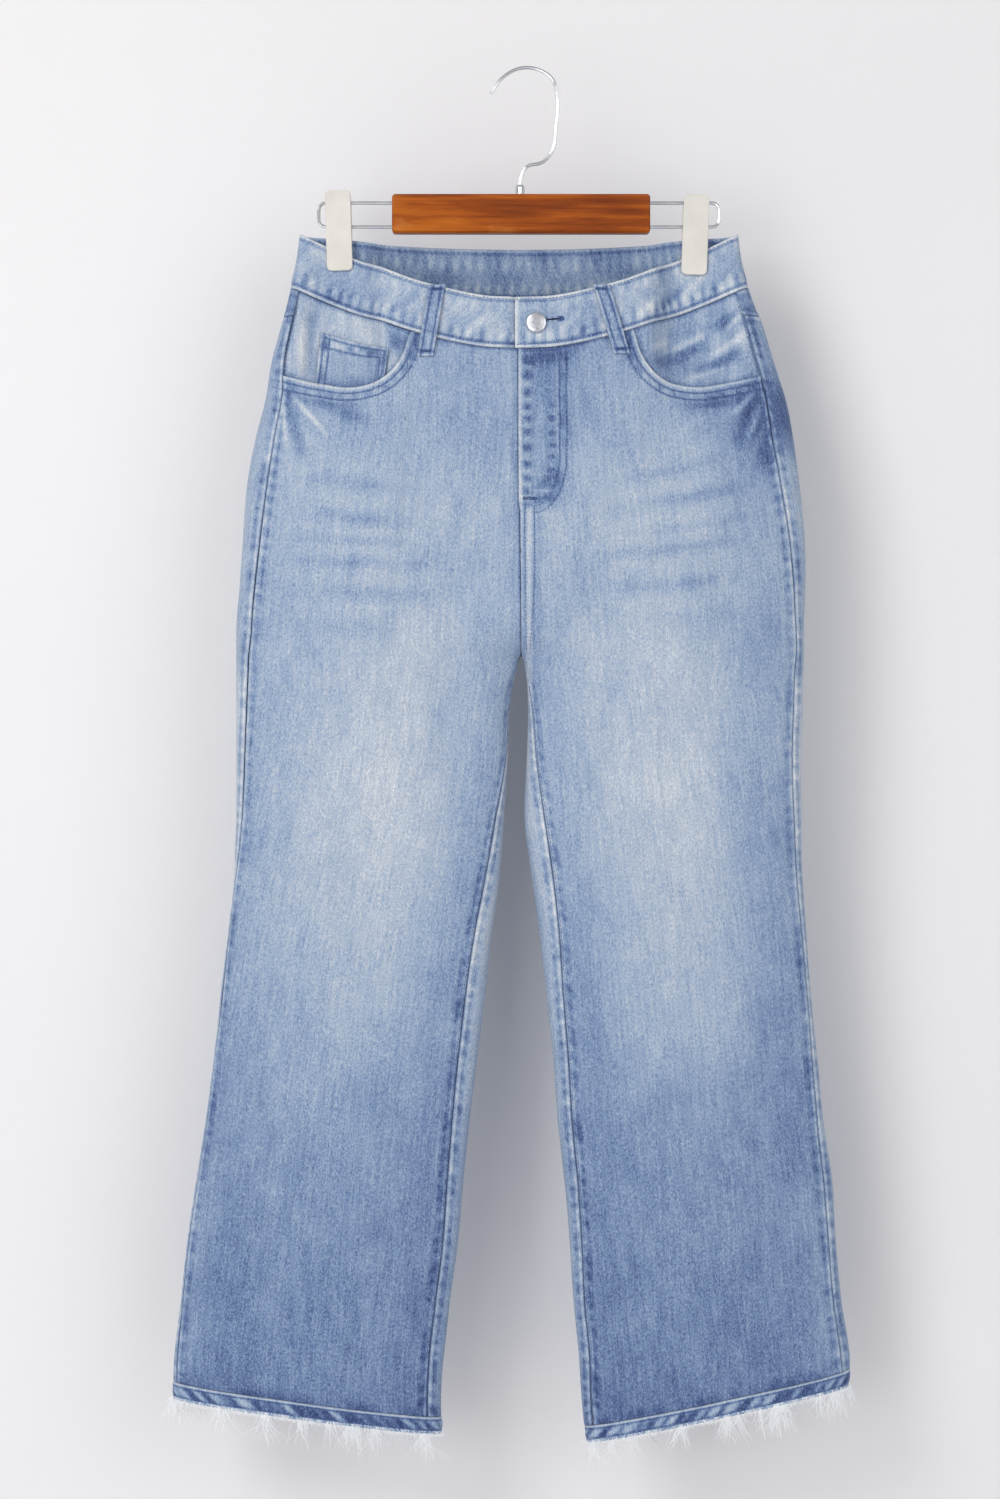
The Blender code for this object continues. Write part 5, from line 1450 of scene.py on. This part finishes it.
def make_coin_pocket():
    """The small pocket on the left bearer."""
    u, v = np.meshgrid(np.linspace(0, 1, 60), np.linspace(0, 1, 44))
    spot = coin_place(u, v)
    x, z = spot[..., 0], spot[..., 1]
    flat, normal = face_points("left", "front", x, z)
    wide, tall = 0.058, 0.050
    left_of, right_of, below = u * wide, (1 - u) * wide, v * tall
    rim, _ = line_distance(x, z, pocket_line("left"))
    ridge = bell(left_of - 0.0008, 0.0010) + bell(right_of - 0.0008, 0.0010) + bell(below - 0.0010, 0.0012)
    rows = np.maximum.reduce([bell(way - place, 0.0008) for way, place in (
        (left_of, 0.0026), (left_of, 0.0074), (right_of, 0.0026), (right_of, 0.0074),
        (below, 0.0030), (below, 0.0100))])
    between = bell(right_of - 0.0050, 0.0028) + bell(left_of - 0.0050, 0.0026)
    between = unit(between + bell(below - 0.0065, 0.0036))
    patchy = unit(0.5 + 0.7 * blotch(x, z, 0.0050, 0.0050, 150))
    # Painted shade: darker near the pocket rim, whose edge lies over the coin pocket.
    darkening = 0.16 + 0.90 * rows + 0.62 * between * patchy + 0.55 * fade(rim, 0.0, 0.009)
    darkening += 0.34 * fade(right_of, 0.0, 0.013) + 0.26 * blotch(x, z, 0.010, 0.010, 151)
    worn = unit(ridge) * unit(0.6 + 0.6 * blotch(x, z, 0.006, 0.006, 152))
    worn += 0.50 * between * (1 - patchy) + 0.2 * unit(blotch(x, z, 0.010, 0.010, 153))
    points = flat + normal * (0.0003 * (ridge - rows) - 0.0027)[..., None]
    piece = cloth_patch("coin_cloth", "coin_pocket", points, wash_and_shading_stack(0.56, darkening, worn), plan_uv(x, z),
                        DENIM, BEARER_SHELL)
    return declare_cut(piece)


# Back pockets: how far out they stand, their upper edge, half width and height
POCKET_X, POCKET_TOP, POCKET_HALF, POCKET_TALL = 0.108, -0.302, 0.068, 0.150


def pocket_place(side, across_by, down, half=POCKET_HALF):
    """x, z at a share across a back pocket, from -1 to 1, and a share down it."""
    x = SIGN[side] * POCKET_X + half * across_by * (1 - 0.10 * down)
    return x, POCKET_TOP - down * (POCKET_TALL - 0.022 * np.abs(across_by))


def make_back_pocket(side):
    """One patch pocket with folded edges and two rows of sewing."""
    u, v = np.meshgrid(np.linspace(-1, 1, 70), np.linspace(0, 1, 76))
    x, z = pocket_place(side, u, v)
    corners = ((-1, 0), (-1, 1), (0, 1), (1, 1), (1, 0))
    edge, way = line_distance(x, z, [pocket_place(side, a, b) for a, b in corners])
    top = POCKET_TOP - z
    flat, normal = face_points(side, "back", x, z)
    pucker = unit(0.55 + 0.6 * wobble(way, 0.008, 160))
    ridge = bell(np.minimum(edge, top) - 0.0010, 0.0011)
    rows = np.maximum.reduce([bell(edge - 0.0028, 0.0008), bell(edge - 0.0090, 0.0008),
                              bell(top - 0.0110, 0.0009), bell(top - 0.0030, 0.0008)])
    centre = patch(u, v, (0.0, 0.5), (0.55, 0.36))
    cloud = 0.18 * blotch(x, z, 0.026, 0.040, 161) + 0.12 * blotch(x, z, 0.010, 0.016, 162)
    darkening = 0.16 + 0.45 * rows + 0.30 * fade(edge, 0.006, 0.020) + 0.20 * bell(top - 0.007, 0.004)
    worn = 0.85 * ridge * pucker + 0.15 * centre + 0.30 * bell(edge - 0.0058, 0.0020) * pucker
    relief = 0.0003 * (ridge - rows) + 0.0004 * blotch(x, z, 0.030, 0.040, 163) * (1 - ridge)
    points, wash_and_shading, uv = turned(flat + normal * (relief + 0.0023)[..., None],
                              wash_and_shading_stack(0.50 + 0.28 * centre + cloud, darkening, worn), plan_uv(x, z))
    piece = cloth_patch("back_pocket_cloth_" + side, "back_pocket_" + side, points, wash_and_shading, uv, DENIM,
                        POCKET_SHELL)
    return declare_cut(piece)


def ring_points(side, drop, count):
    """Points round a leg opening, drop below its hem line, with the way round."""
    edge_of = hem_z(side, 0.0)
    angle = np.linspace(0, 2 * math.pi, 1441)
    z = np.full(angle.shape, float(edge_of(np.zeros(1), True)[0]))
    for _ in range(10):
        x = surface(side, -angle, z)[..., 0]
        z = edge_of(x, True) - drop
    points = surface(side, -angle, z)
    way = np.concatenate([[0], np.cumsum(np.linalg.norm(np.diff(points[:, :2], axis=0), axis=1))])
    goal = way[-1] * np.arange(count) / count
    turn = np.interp(goal, way, angle)
    height = np.interp(goal, way, z)
    return -turn, height, goal


# The hem bands: their thickness and height, what each fold takes, and the points round a leg
HEM, HEM_TALL, HEM_FOLD, HEM_COUNT = 0.0024, 0.0150, 0.0013, 420


def make_hems(fringe):
    """The turned hem bands, roped and frayed at their lower edge."""
    made = []
    for side in LEFT_RIGHT:
        sign = SIGN[side]
        rows = spaced(HEM_TALL, 0.0016, ((0, 0.002, 0.0007), (HEM_TALL, 0.002, 0.0008)))
        grid = [ring_points(side, HEM_FOLD + (HEM_TALL - 2 * HEM_FOLD) * t, HEM_COUNT) for t in rows]
        angle, z, way = (np.stack(part) for part in zip(*grid))
        points = surface(side, angle, z)
        down = np.broadcast_to((rows * HEM_TALL)[:, None], way.shape)
        up = HEM_TALL - down
        lean = way + 0.9 * down
        rope = 0.35 * beat(lean, 0.0125, 171 + sign) + 0.85 * wobble(lean, HEM_PITCH, 172 + sign)
        fine = wobble(lean, 0.0030, 173 + sign)
        middle = np.sin(np.pi * unit(down / HEM_TALL))
        relief = (0.0008 * rope + 0.0003 * fine) * middle - 0.0006 * bell(down - 0.0125, 0.0011)
        dark = unit(0.34 - 1.3 * rope) * bell(down - 0.0075, 0.0052)
        darkening = 0.16 + 1.10 * dark + 0.75 * bell(down - 0.0018, 0.0009) + 0.55 * bell(down - 0.0118, 0.0012)
        darkening *= 1 - fade(up, 0.0005, 0.0040) * 0.8
        worn = 0.95 * bell(down, 0.0010) + 0.90 * unit(rope) * bell(down - 0.0070, 0.0050)
        worn += 0.95 * fade(up, 0.0005, 0.0034) * unit(0.5 + 0.9 * wobble(way, 0.0045, 175))
        wash_and_shading = wash_and_shading_stack(0.34, darkening, worn)
        piece = cloth_strip("hem_cloth_" + side, "hem_" + side, points, outward(side, angle, z), HEM,
                            (relief, 0.4 * relief), (wash_and_shading, wash_and_shading), plan_uv(way, z), closed=True)
        made.append(declare_cut(piece))
    return made


def tube_bundle(name, paths, radii, sides, look, replaced=()):
    """Many thin tubes as one mesh. paths is (tubes, rings, 3) and radii is (tubes, rings)."""
    tubes, rings = paths.shape[:2]
    run = np.gradient(paths, axis=1)
    run /= np.linalg.norm(run, axis=-1, keepdims=True) + 1e-12
    helper = np.where(np.abs(run[..., [1]]) < 0.9, np.array([0, 1.0, 0]), np.array([1.0, 0, 0]))
    side_way = np.cross(run, helper)
    side_way /= np.linalg.norm(side_way, axis=-1, keepdims=True)
    up_way = np.cross(run, side_way)
    turn = (2 * math.pi * np.arange(sides) / sides)[:, None]
    circle = side_way[..., None, :] * np.cos(turn) + up_way[..., None, :] * np.sin(turn)
    verts = paths[..., None, :] + circle * radii[..., None, None]
    index = np.arange(tubes * rings * sides).reshape(tubes, rings, sides)
    low, high = index[:, :-1], index[:, 1:]
    quads = np.stack([low, np.roll(low, -1, axis=2), np.roll(high, -1, axis=2), high], axis=-1)
    data = raw_mesh(name, verts.reshape(-1, 3), quads.reshape(-1, 4))
    return add_piece(name, data, look, replaced)


# The fringe: kind, threads, rings, shortest, longest, radius, and the spreads of length and sway
FRINGE = (("fuzz", 4200, 4, 0.0015, 0.0062, 0.00028, 1.3, 0.42),
          ("wisps", 760, 8, 0.007, 0.0290, 0.00036, 1.6, 0.30))
FRINGE_SEEDS = {"left": 3, "right": 11}
FRINGE_PLACES = 2400
LOCKS = 26


def make_fringe():
    """Frayed threads along each raw hem: a short fuzz and fewer long wisps in locks."""
    made = {"left": [], "right": []}
    for side in LEFT_RIGHT:
        rng = np.random.default_rng(FRINGE_SEEDS[side])
        angle, z, _ = ring_points(side, HEM_TALL - 0.0004, FRINGE_PLACES)
        for kind, count, rings, low, high, radius, bunch, swing in FRINGE:
            pick = rng.integers(0, FRINGE_PLACES, count)
            if kind == "wisps":
                centres = rng.integers(0, FRINGE_PLACES, LOCKS)
                lock = (LOCKS * rng.uniform(0, 1, count) ** 1.3).astype(int)
                pick = (centres[lock] + rng.normal(0, 9, count).astype(int)) % FRINGE_PLACES
            root = surface(side, angle[pick], z[pick])
            root -= outward(side, angle[pick], z[pick]) * rng.uniform(0.0002, 0.0024, count)[:, None]
            length = low + (high - low) * rng.uniform(0, 1, count) ** bunch
            t = np.linspace(0, 1, rings)
            sway = rng.normal(0, swing, (count, 2))
            curl = rng.normal(0, 0.35, (count, 2))
            path = np.zeros((count, rings, 3))
            for k, share in ((0, 1.0), (1, 0.5)):
                aside = sway[:, [k]] * t + curl[:, [k]] * np.sin(t * 4.0 + 1) * t * 0.5
                path[..., k] = root[:, [k]] + share * length[:, None] * aside
            drop = length[:, None] * t * (1 - 0.15 * np.abs(sway[:, [0]]))
            path[..., 2] = root[:, [2]] + 0.0022 - drop
            radii = radius * (1.0 - 0.55 * t)[None] * rng.uniform(0.7, 1.3, (count, 1))
            stands_for = ("fringe_" + side,) if kind == "wisps" else ()
            name = "fray_" + kind + "_" + side
            made[side].append(tube_bundle(name, path, radii, 3, FRAY, stands_for))
    return made


class Cover:
    """The outer faces that the sewing lies on, for dropping points onto them."""

    def __init__(self, objects):
        verts = []
        faces = []
        base = 0
        for obj in objects:
            data = obj.data
            co = np.empty(len(data.vertices) * 3, np.float32)
            data.vertices.foreach_get("co", co)
            verts.append(co.reshape(-1, 3))
            corners = np.empty(len(data.loops), np.int32)
            data.loops.foreach_get("vertex_index", corners)
            faces.append(corners.reshape(-1, 4) + base)
            base += len(verts[-1])
        self.tree = BVHTree.FromPolygons(np.concatenate(verts).tolist(), np.concatenate(faces).tolist())

    def drop(self, x, z, face):
        """Points and normals under x, z as seen from the front or the back."""
        side = -1.0 if face == "front" else 1.0
        points = np.full((len(x), 3), np.nan)
        normals = np.zeros((len(x), 3))
        for k, (a, b) in enumerate(zip(x, z)):
            hit, normal, _, _ = self.tree.ray_cast(Vector((a, side * 0.3, b)), Vector((0, -side, 0)))
            if hit is not None and hit.y * side > -0.001:
                points[k] = hit
                normals[k] = normal if normal.y * side > 0 else -normal
        return points, normals


def resample(line, pitch):
    """Evenly spaced places along a polyline of x, z."""
    line = np.asarray(line, float)
    way = np.concatenate([[0], np.cumsum(np.hypot(*np.diff(line, axis=0).T))])
    count = max(2, int(round(way[-1] / pitch)))
    goal = np.linspace(0, way[-1], count + 1)
    return np.stack([np.interp(goal, way, line[:, 0]), np.interp(goal, way, line[:, 1])], axis=1)


# The stitches laid so far, their height over the cloth and the radius of the finer thread
SEWING = {"paths": [], "radii": []}
STITCH_LIFT = 0.00012
FINE_THREAD = 0.00026


def sew(cover, line, face="front", pitch=0.0031, share=0.78, radius=0.00030, seed=1):
    """One row of stitches along a line of x, z, laid on the cloth."""
    places = resample(line, pitch)
    starts, ends = places[:-1], places[1:]
    rng = np.random.default_rng(seed)
    steps = np.array([0.0, 0.22, 0.5, 0.78, 1.0]) * share
    flat = starts[:, None] + (ends - starts)[:, None] * steps[None, :, None]
    flat += rng.normal(0, 0.00012, (len(starts), 1, 2))
    points, normals = (part.reshape(len(starts), 5, 3) for part in
                       cover.drop(flat[..., 0].ravel(), flat[..., 1].ravel(), face))
    good = ~np.isnan(points).any(axis=(1, 2))
    good &= np.linalg.norm(points[:, -1] - points[:, 0], axis=-1) < pitch * 2.0
    rise = np.array([-0.9, 0.6, 1.0, 0.6, -0.9]) * radius * 0.8 + STITCH_LIFT
    paths = points + normals * rise[None, :, None]
    radii = np.broadcast_to(radius * np.array([0.45, 0.95, 1.0, 0.95, 0.45]), points.shape[:2])
    SEWING["paths"].append(paths[good])
    SEWING["radii"].append(radii[good])


def tack(cover, start, end, face="front", width=0.0022, count=16, seed=5):
    """A bar tack: close stitches across the line from start to end."""
    start, end = np.asarray(start, float), np.asarray(end, float)
    run = (end - start) / np.linalg.norm(end - start)
    reach = np.array([-run[1], run[0]]) * width / 2 + run * 0.0002
    rng = np.random.default_rng(seed)
    for k in range(count):
        middle = start + (end - start) * (k + 0.5) / count + rng.normal(0, 0.00008, 2)
        sew(cover, [middle - reach, middle + reach], face, width, 1.0, FINE_THREAD, k)


def row_line(height_of, x0, x1, drop, front=True):
    """A line of x, z that runs along an edge, dropped below it."""
    x = np.linspace(x0, x1, 80)
    return np.stack([x, height_of(x, front) - drop], axis=1)


def seam_line(side, seam_of, z0, z1, inset, way=1):
    """A line of x, z that runs beside a seam on the front, inset along the cloth."""
    z = np.linspace(z0, z1, 160)
    angle = seam_of(side, z)
    turn = 0.002
    step = np.linalg.norm(surface(side, angle + turn, z) - surface(side, angle, z), axis=-1)
    angle += way * inset * turn / step
    return np.stack([surface(side, angle, z)[..., 0], z], axis=1)


def make_sewing(cover):
    """All rows of stitches and the bar tacks."""
    sew(cover, row_line(waist_top_z, -0.180, 0.183, 0.0024), seed=201)
    sew(cover, row_line(waist_seam_z, -0.186, 0.190, -0.0030), seed=202)
    sew(cover, row_line(waist_top_z, -0.180, 0.180, 0.0026, False), "back", seed=203)
    sew(cover, row_line(waist_seam_z, -0.190, 0.190, -0.0030, False), "back", seed=204)
    for k, drop in enumerate((0.0022, 0.0082)):
        sew(cover, row_line(yoke_seam_z, -0.196, 0.196, drop, False), "back", seed=205 + k)
    for side in LEFT_RIGHT:
        sew_leg(cover, side)
    for k, inset in enumerate((0.0, 0.0060)):
        sew(cover, fly_row(inset), seed=281 + k)
    z = np.linspace(-0.3790, -0.500, 30)
    sew(cover, np.stack([0.0043 + centre_x(z), z], axis=1), seed=283)
    sew(cover, np.stack([0.0125 + 0.6 * centre_x(z) - 0.07 * unit(-z - 0.44), z], axis=1), seed=284)
    tack(cover, (0.0030, -0.3715), (0.0150, -0.3715), width=0.0030, count=26)
    for v in (0.060, 0.200):
        sew(cover, coin_place((0.03, 0.97), v), pitch=0.0027, radius=FINE_THREAD, seed=291)
    for u in (0.045, 0.128, 0.872, 0.955):
        sew(cover, coin_place(u, (0.05, 0.88)), pitch=0.0027, radius=FINE_THREAD, seed=292)
    for k, (_, _, face, top_x, low_x) in enumerate(LOOPS):
        top, low = loop_ends(face, top_x, low_x)
        for aside in (-0.0036, 0.0036):
            line = [(top_x + aside, top - 0.003), (low_x + aside, low + 0.003)]
            sew(cover, line, face, pitch=0.0027, radius=FINE_THREAD, seed=300 + k)
        for x, z in ((top_x, top - 0.0030), (low_x, low + 0.0034)):
            tack(cover, (x - 0.0045, z), (x + 0.0045, z), face, count=14)
    paths, radii = (np.concatenate(SEWING[part]) for part in ("paths", "radii"))
    tube_bundle("sewing_rows", paths, radii, 3, THREAD)


def sew_leg(cover, side):
    """The rows and tacks of one leg and of its pockets."""
    sign = SIGN[side]
    for k, out in enumerate((0.0053, 0.0113)):
        line = pocket_line(side, out)
        keep = (line[:, 1] < waist_seam_z(line[:, 0], True) - 0.002) & (np.abs(line[:, 0]) < 0.2135)
        sew(cover, line[keep], seed=211 + k)
    sew(cover, seam_line(side, side_seam, -0.205, -0.262, 0.0019), seed=221, pitch=0.0030)
    sew(cover, seam_line(side, inseam, -0.530, -1.105, 0.0022, -1), seed=231)
    if side == "left":
        for k, x in enumerate((0.0022, 0.0082)):
            sew(cover, [(sign * x, z) for z in np.linspace(-0.270, -0.500, 40)], "back", seed=241 + k)
    x = np.linspace(min(HEM_REACH[side]) + 0.001, max(HEM_REACH[side]) - 0.001, 80)
    for face in ("front", "back"):
        sew(cover, np.stack([x, hem_z(side, 0.0120)(x, True)], axis=1), face, seed=251)
    middle = sign * POCKET_X
    for inset in (0.0028, 0.0090):
        line = []
        for a, b in ((-1, 0.03), (-1, 1), (0, 1), (1, 1), (1, 0.03)):
            x, z = pocket_place(side, a, b, POCKET_HALF - inset)
            line.append((x, z + inset if b == 1 else z))
        sew(cover, line, "back", seed=261)
    reach = POCKET_HALF * 0.97
    sew(cover, [(middle - reach, -0.3130), (middle + reach, -0.3130)], "back", seed=262)
    for a in (-1, 1):
        x = middle + (POCKET_HALF - 0.004) * a
        tack(cover, (x - 0.003, -0.3050), (x + 0.003, -0.3050), "back", seed=270)


def make_buttonhole(cover):
    """A keyhole edged with close stitches, just right of the button, with a dark sheet in its cut as
    painted shade.
    """
    paths = []
    radii = []
    centre = np.array((0.0285, -0.2188))
    run = np.array((0.996, 0.087))
    aside = np.array((-run[1], run[0]))
    length, width = 0.0165, 0.0020
    around = np.linspace(0, 2 * math.pi, 60, endpoint=False)
    for a in around:
        c, s = math.cos(a), math.sin(a)
        ring = centre + run * (math.copysign(abs(c) ** 0.35, c) * length / 2) + aside * (s * width * 0.35)
        out = run * (math.copysign(abs(c) ** 2.0, c)) + aside * s
        out = out / np.linalg.norm(out)
        line = [ring, ring + out * 0.0019]
        flat = np.array([line[0] + (line[1] - line[0]) * t for t in (0.0, 0.3, 0.7, 1.0)])
        points, normals = cover.drop(flat[:, 0], flat[:, 1], "front")
        if np.isnan(points).any():
            continue
        paths.append(points + normals * np.array([-0.0001, 0.0003, 0.0003, -0.0001])[:, None])
        radii.append([0.00018, 0.00024, 0.00024, 0.00018])
    tube_bundle("buttonhole_edge", np.array(paths), np.array(radii), 4, THREAD)
    # A thin dark sheet along the cut: painted shade of the opening.
    x = np.linspace(-length / 2, length / 2, 12)
    flat = centre + run * x[:, None]
    points, normals = cover.drop(flat[:, 0], flat[:, 1], "front")
    rings = []
    for p, n, t in zip(points, normals, np.linspace(-1, 1, 12)):
        side_way = Vector(n).cross(Vector((run[0], 0, run[1]))).normalized()
        half = 0.00075 * math.sqrt(max(0.0, 1 - t * t)) + 0.00005
        rings.append([p + n * 0.00012 + np.array(side_way) * k * half for k in (-1, 0, 1)])
    points = np.array(rings)
    data = sheet_mesh("buttonhole_slit_shade", points, np.zeros(points.shape[:2] + (2,)), np.zeros(points.shape))
    add_piece("buttonhole_slit_shade", data, SLIT_SHADE, (), None, 0.0001)


make_stage()
dress_nodes()
covers = make_panels() + [make_waistband()] + make_loops()
covers += [make_bearer(side) for side in LEFT_RIGHT] + [make_coin_pocket()]
covers += [make_back_pocket(side) for side in LEFT_RIGHT] + make_hems(make_fringe())
cover = Cover(covers)
make_sewing(cover)
make_buttonhole(cover)
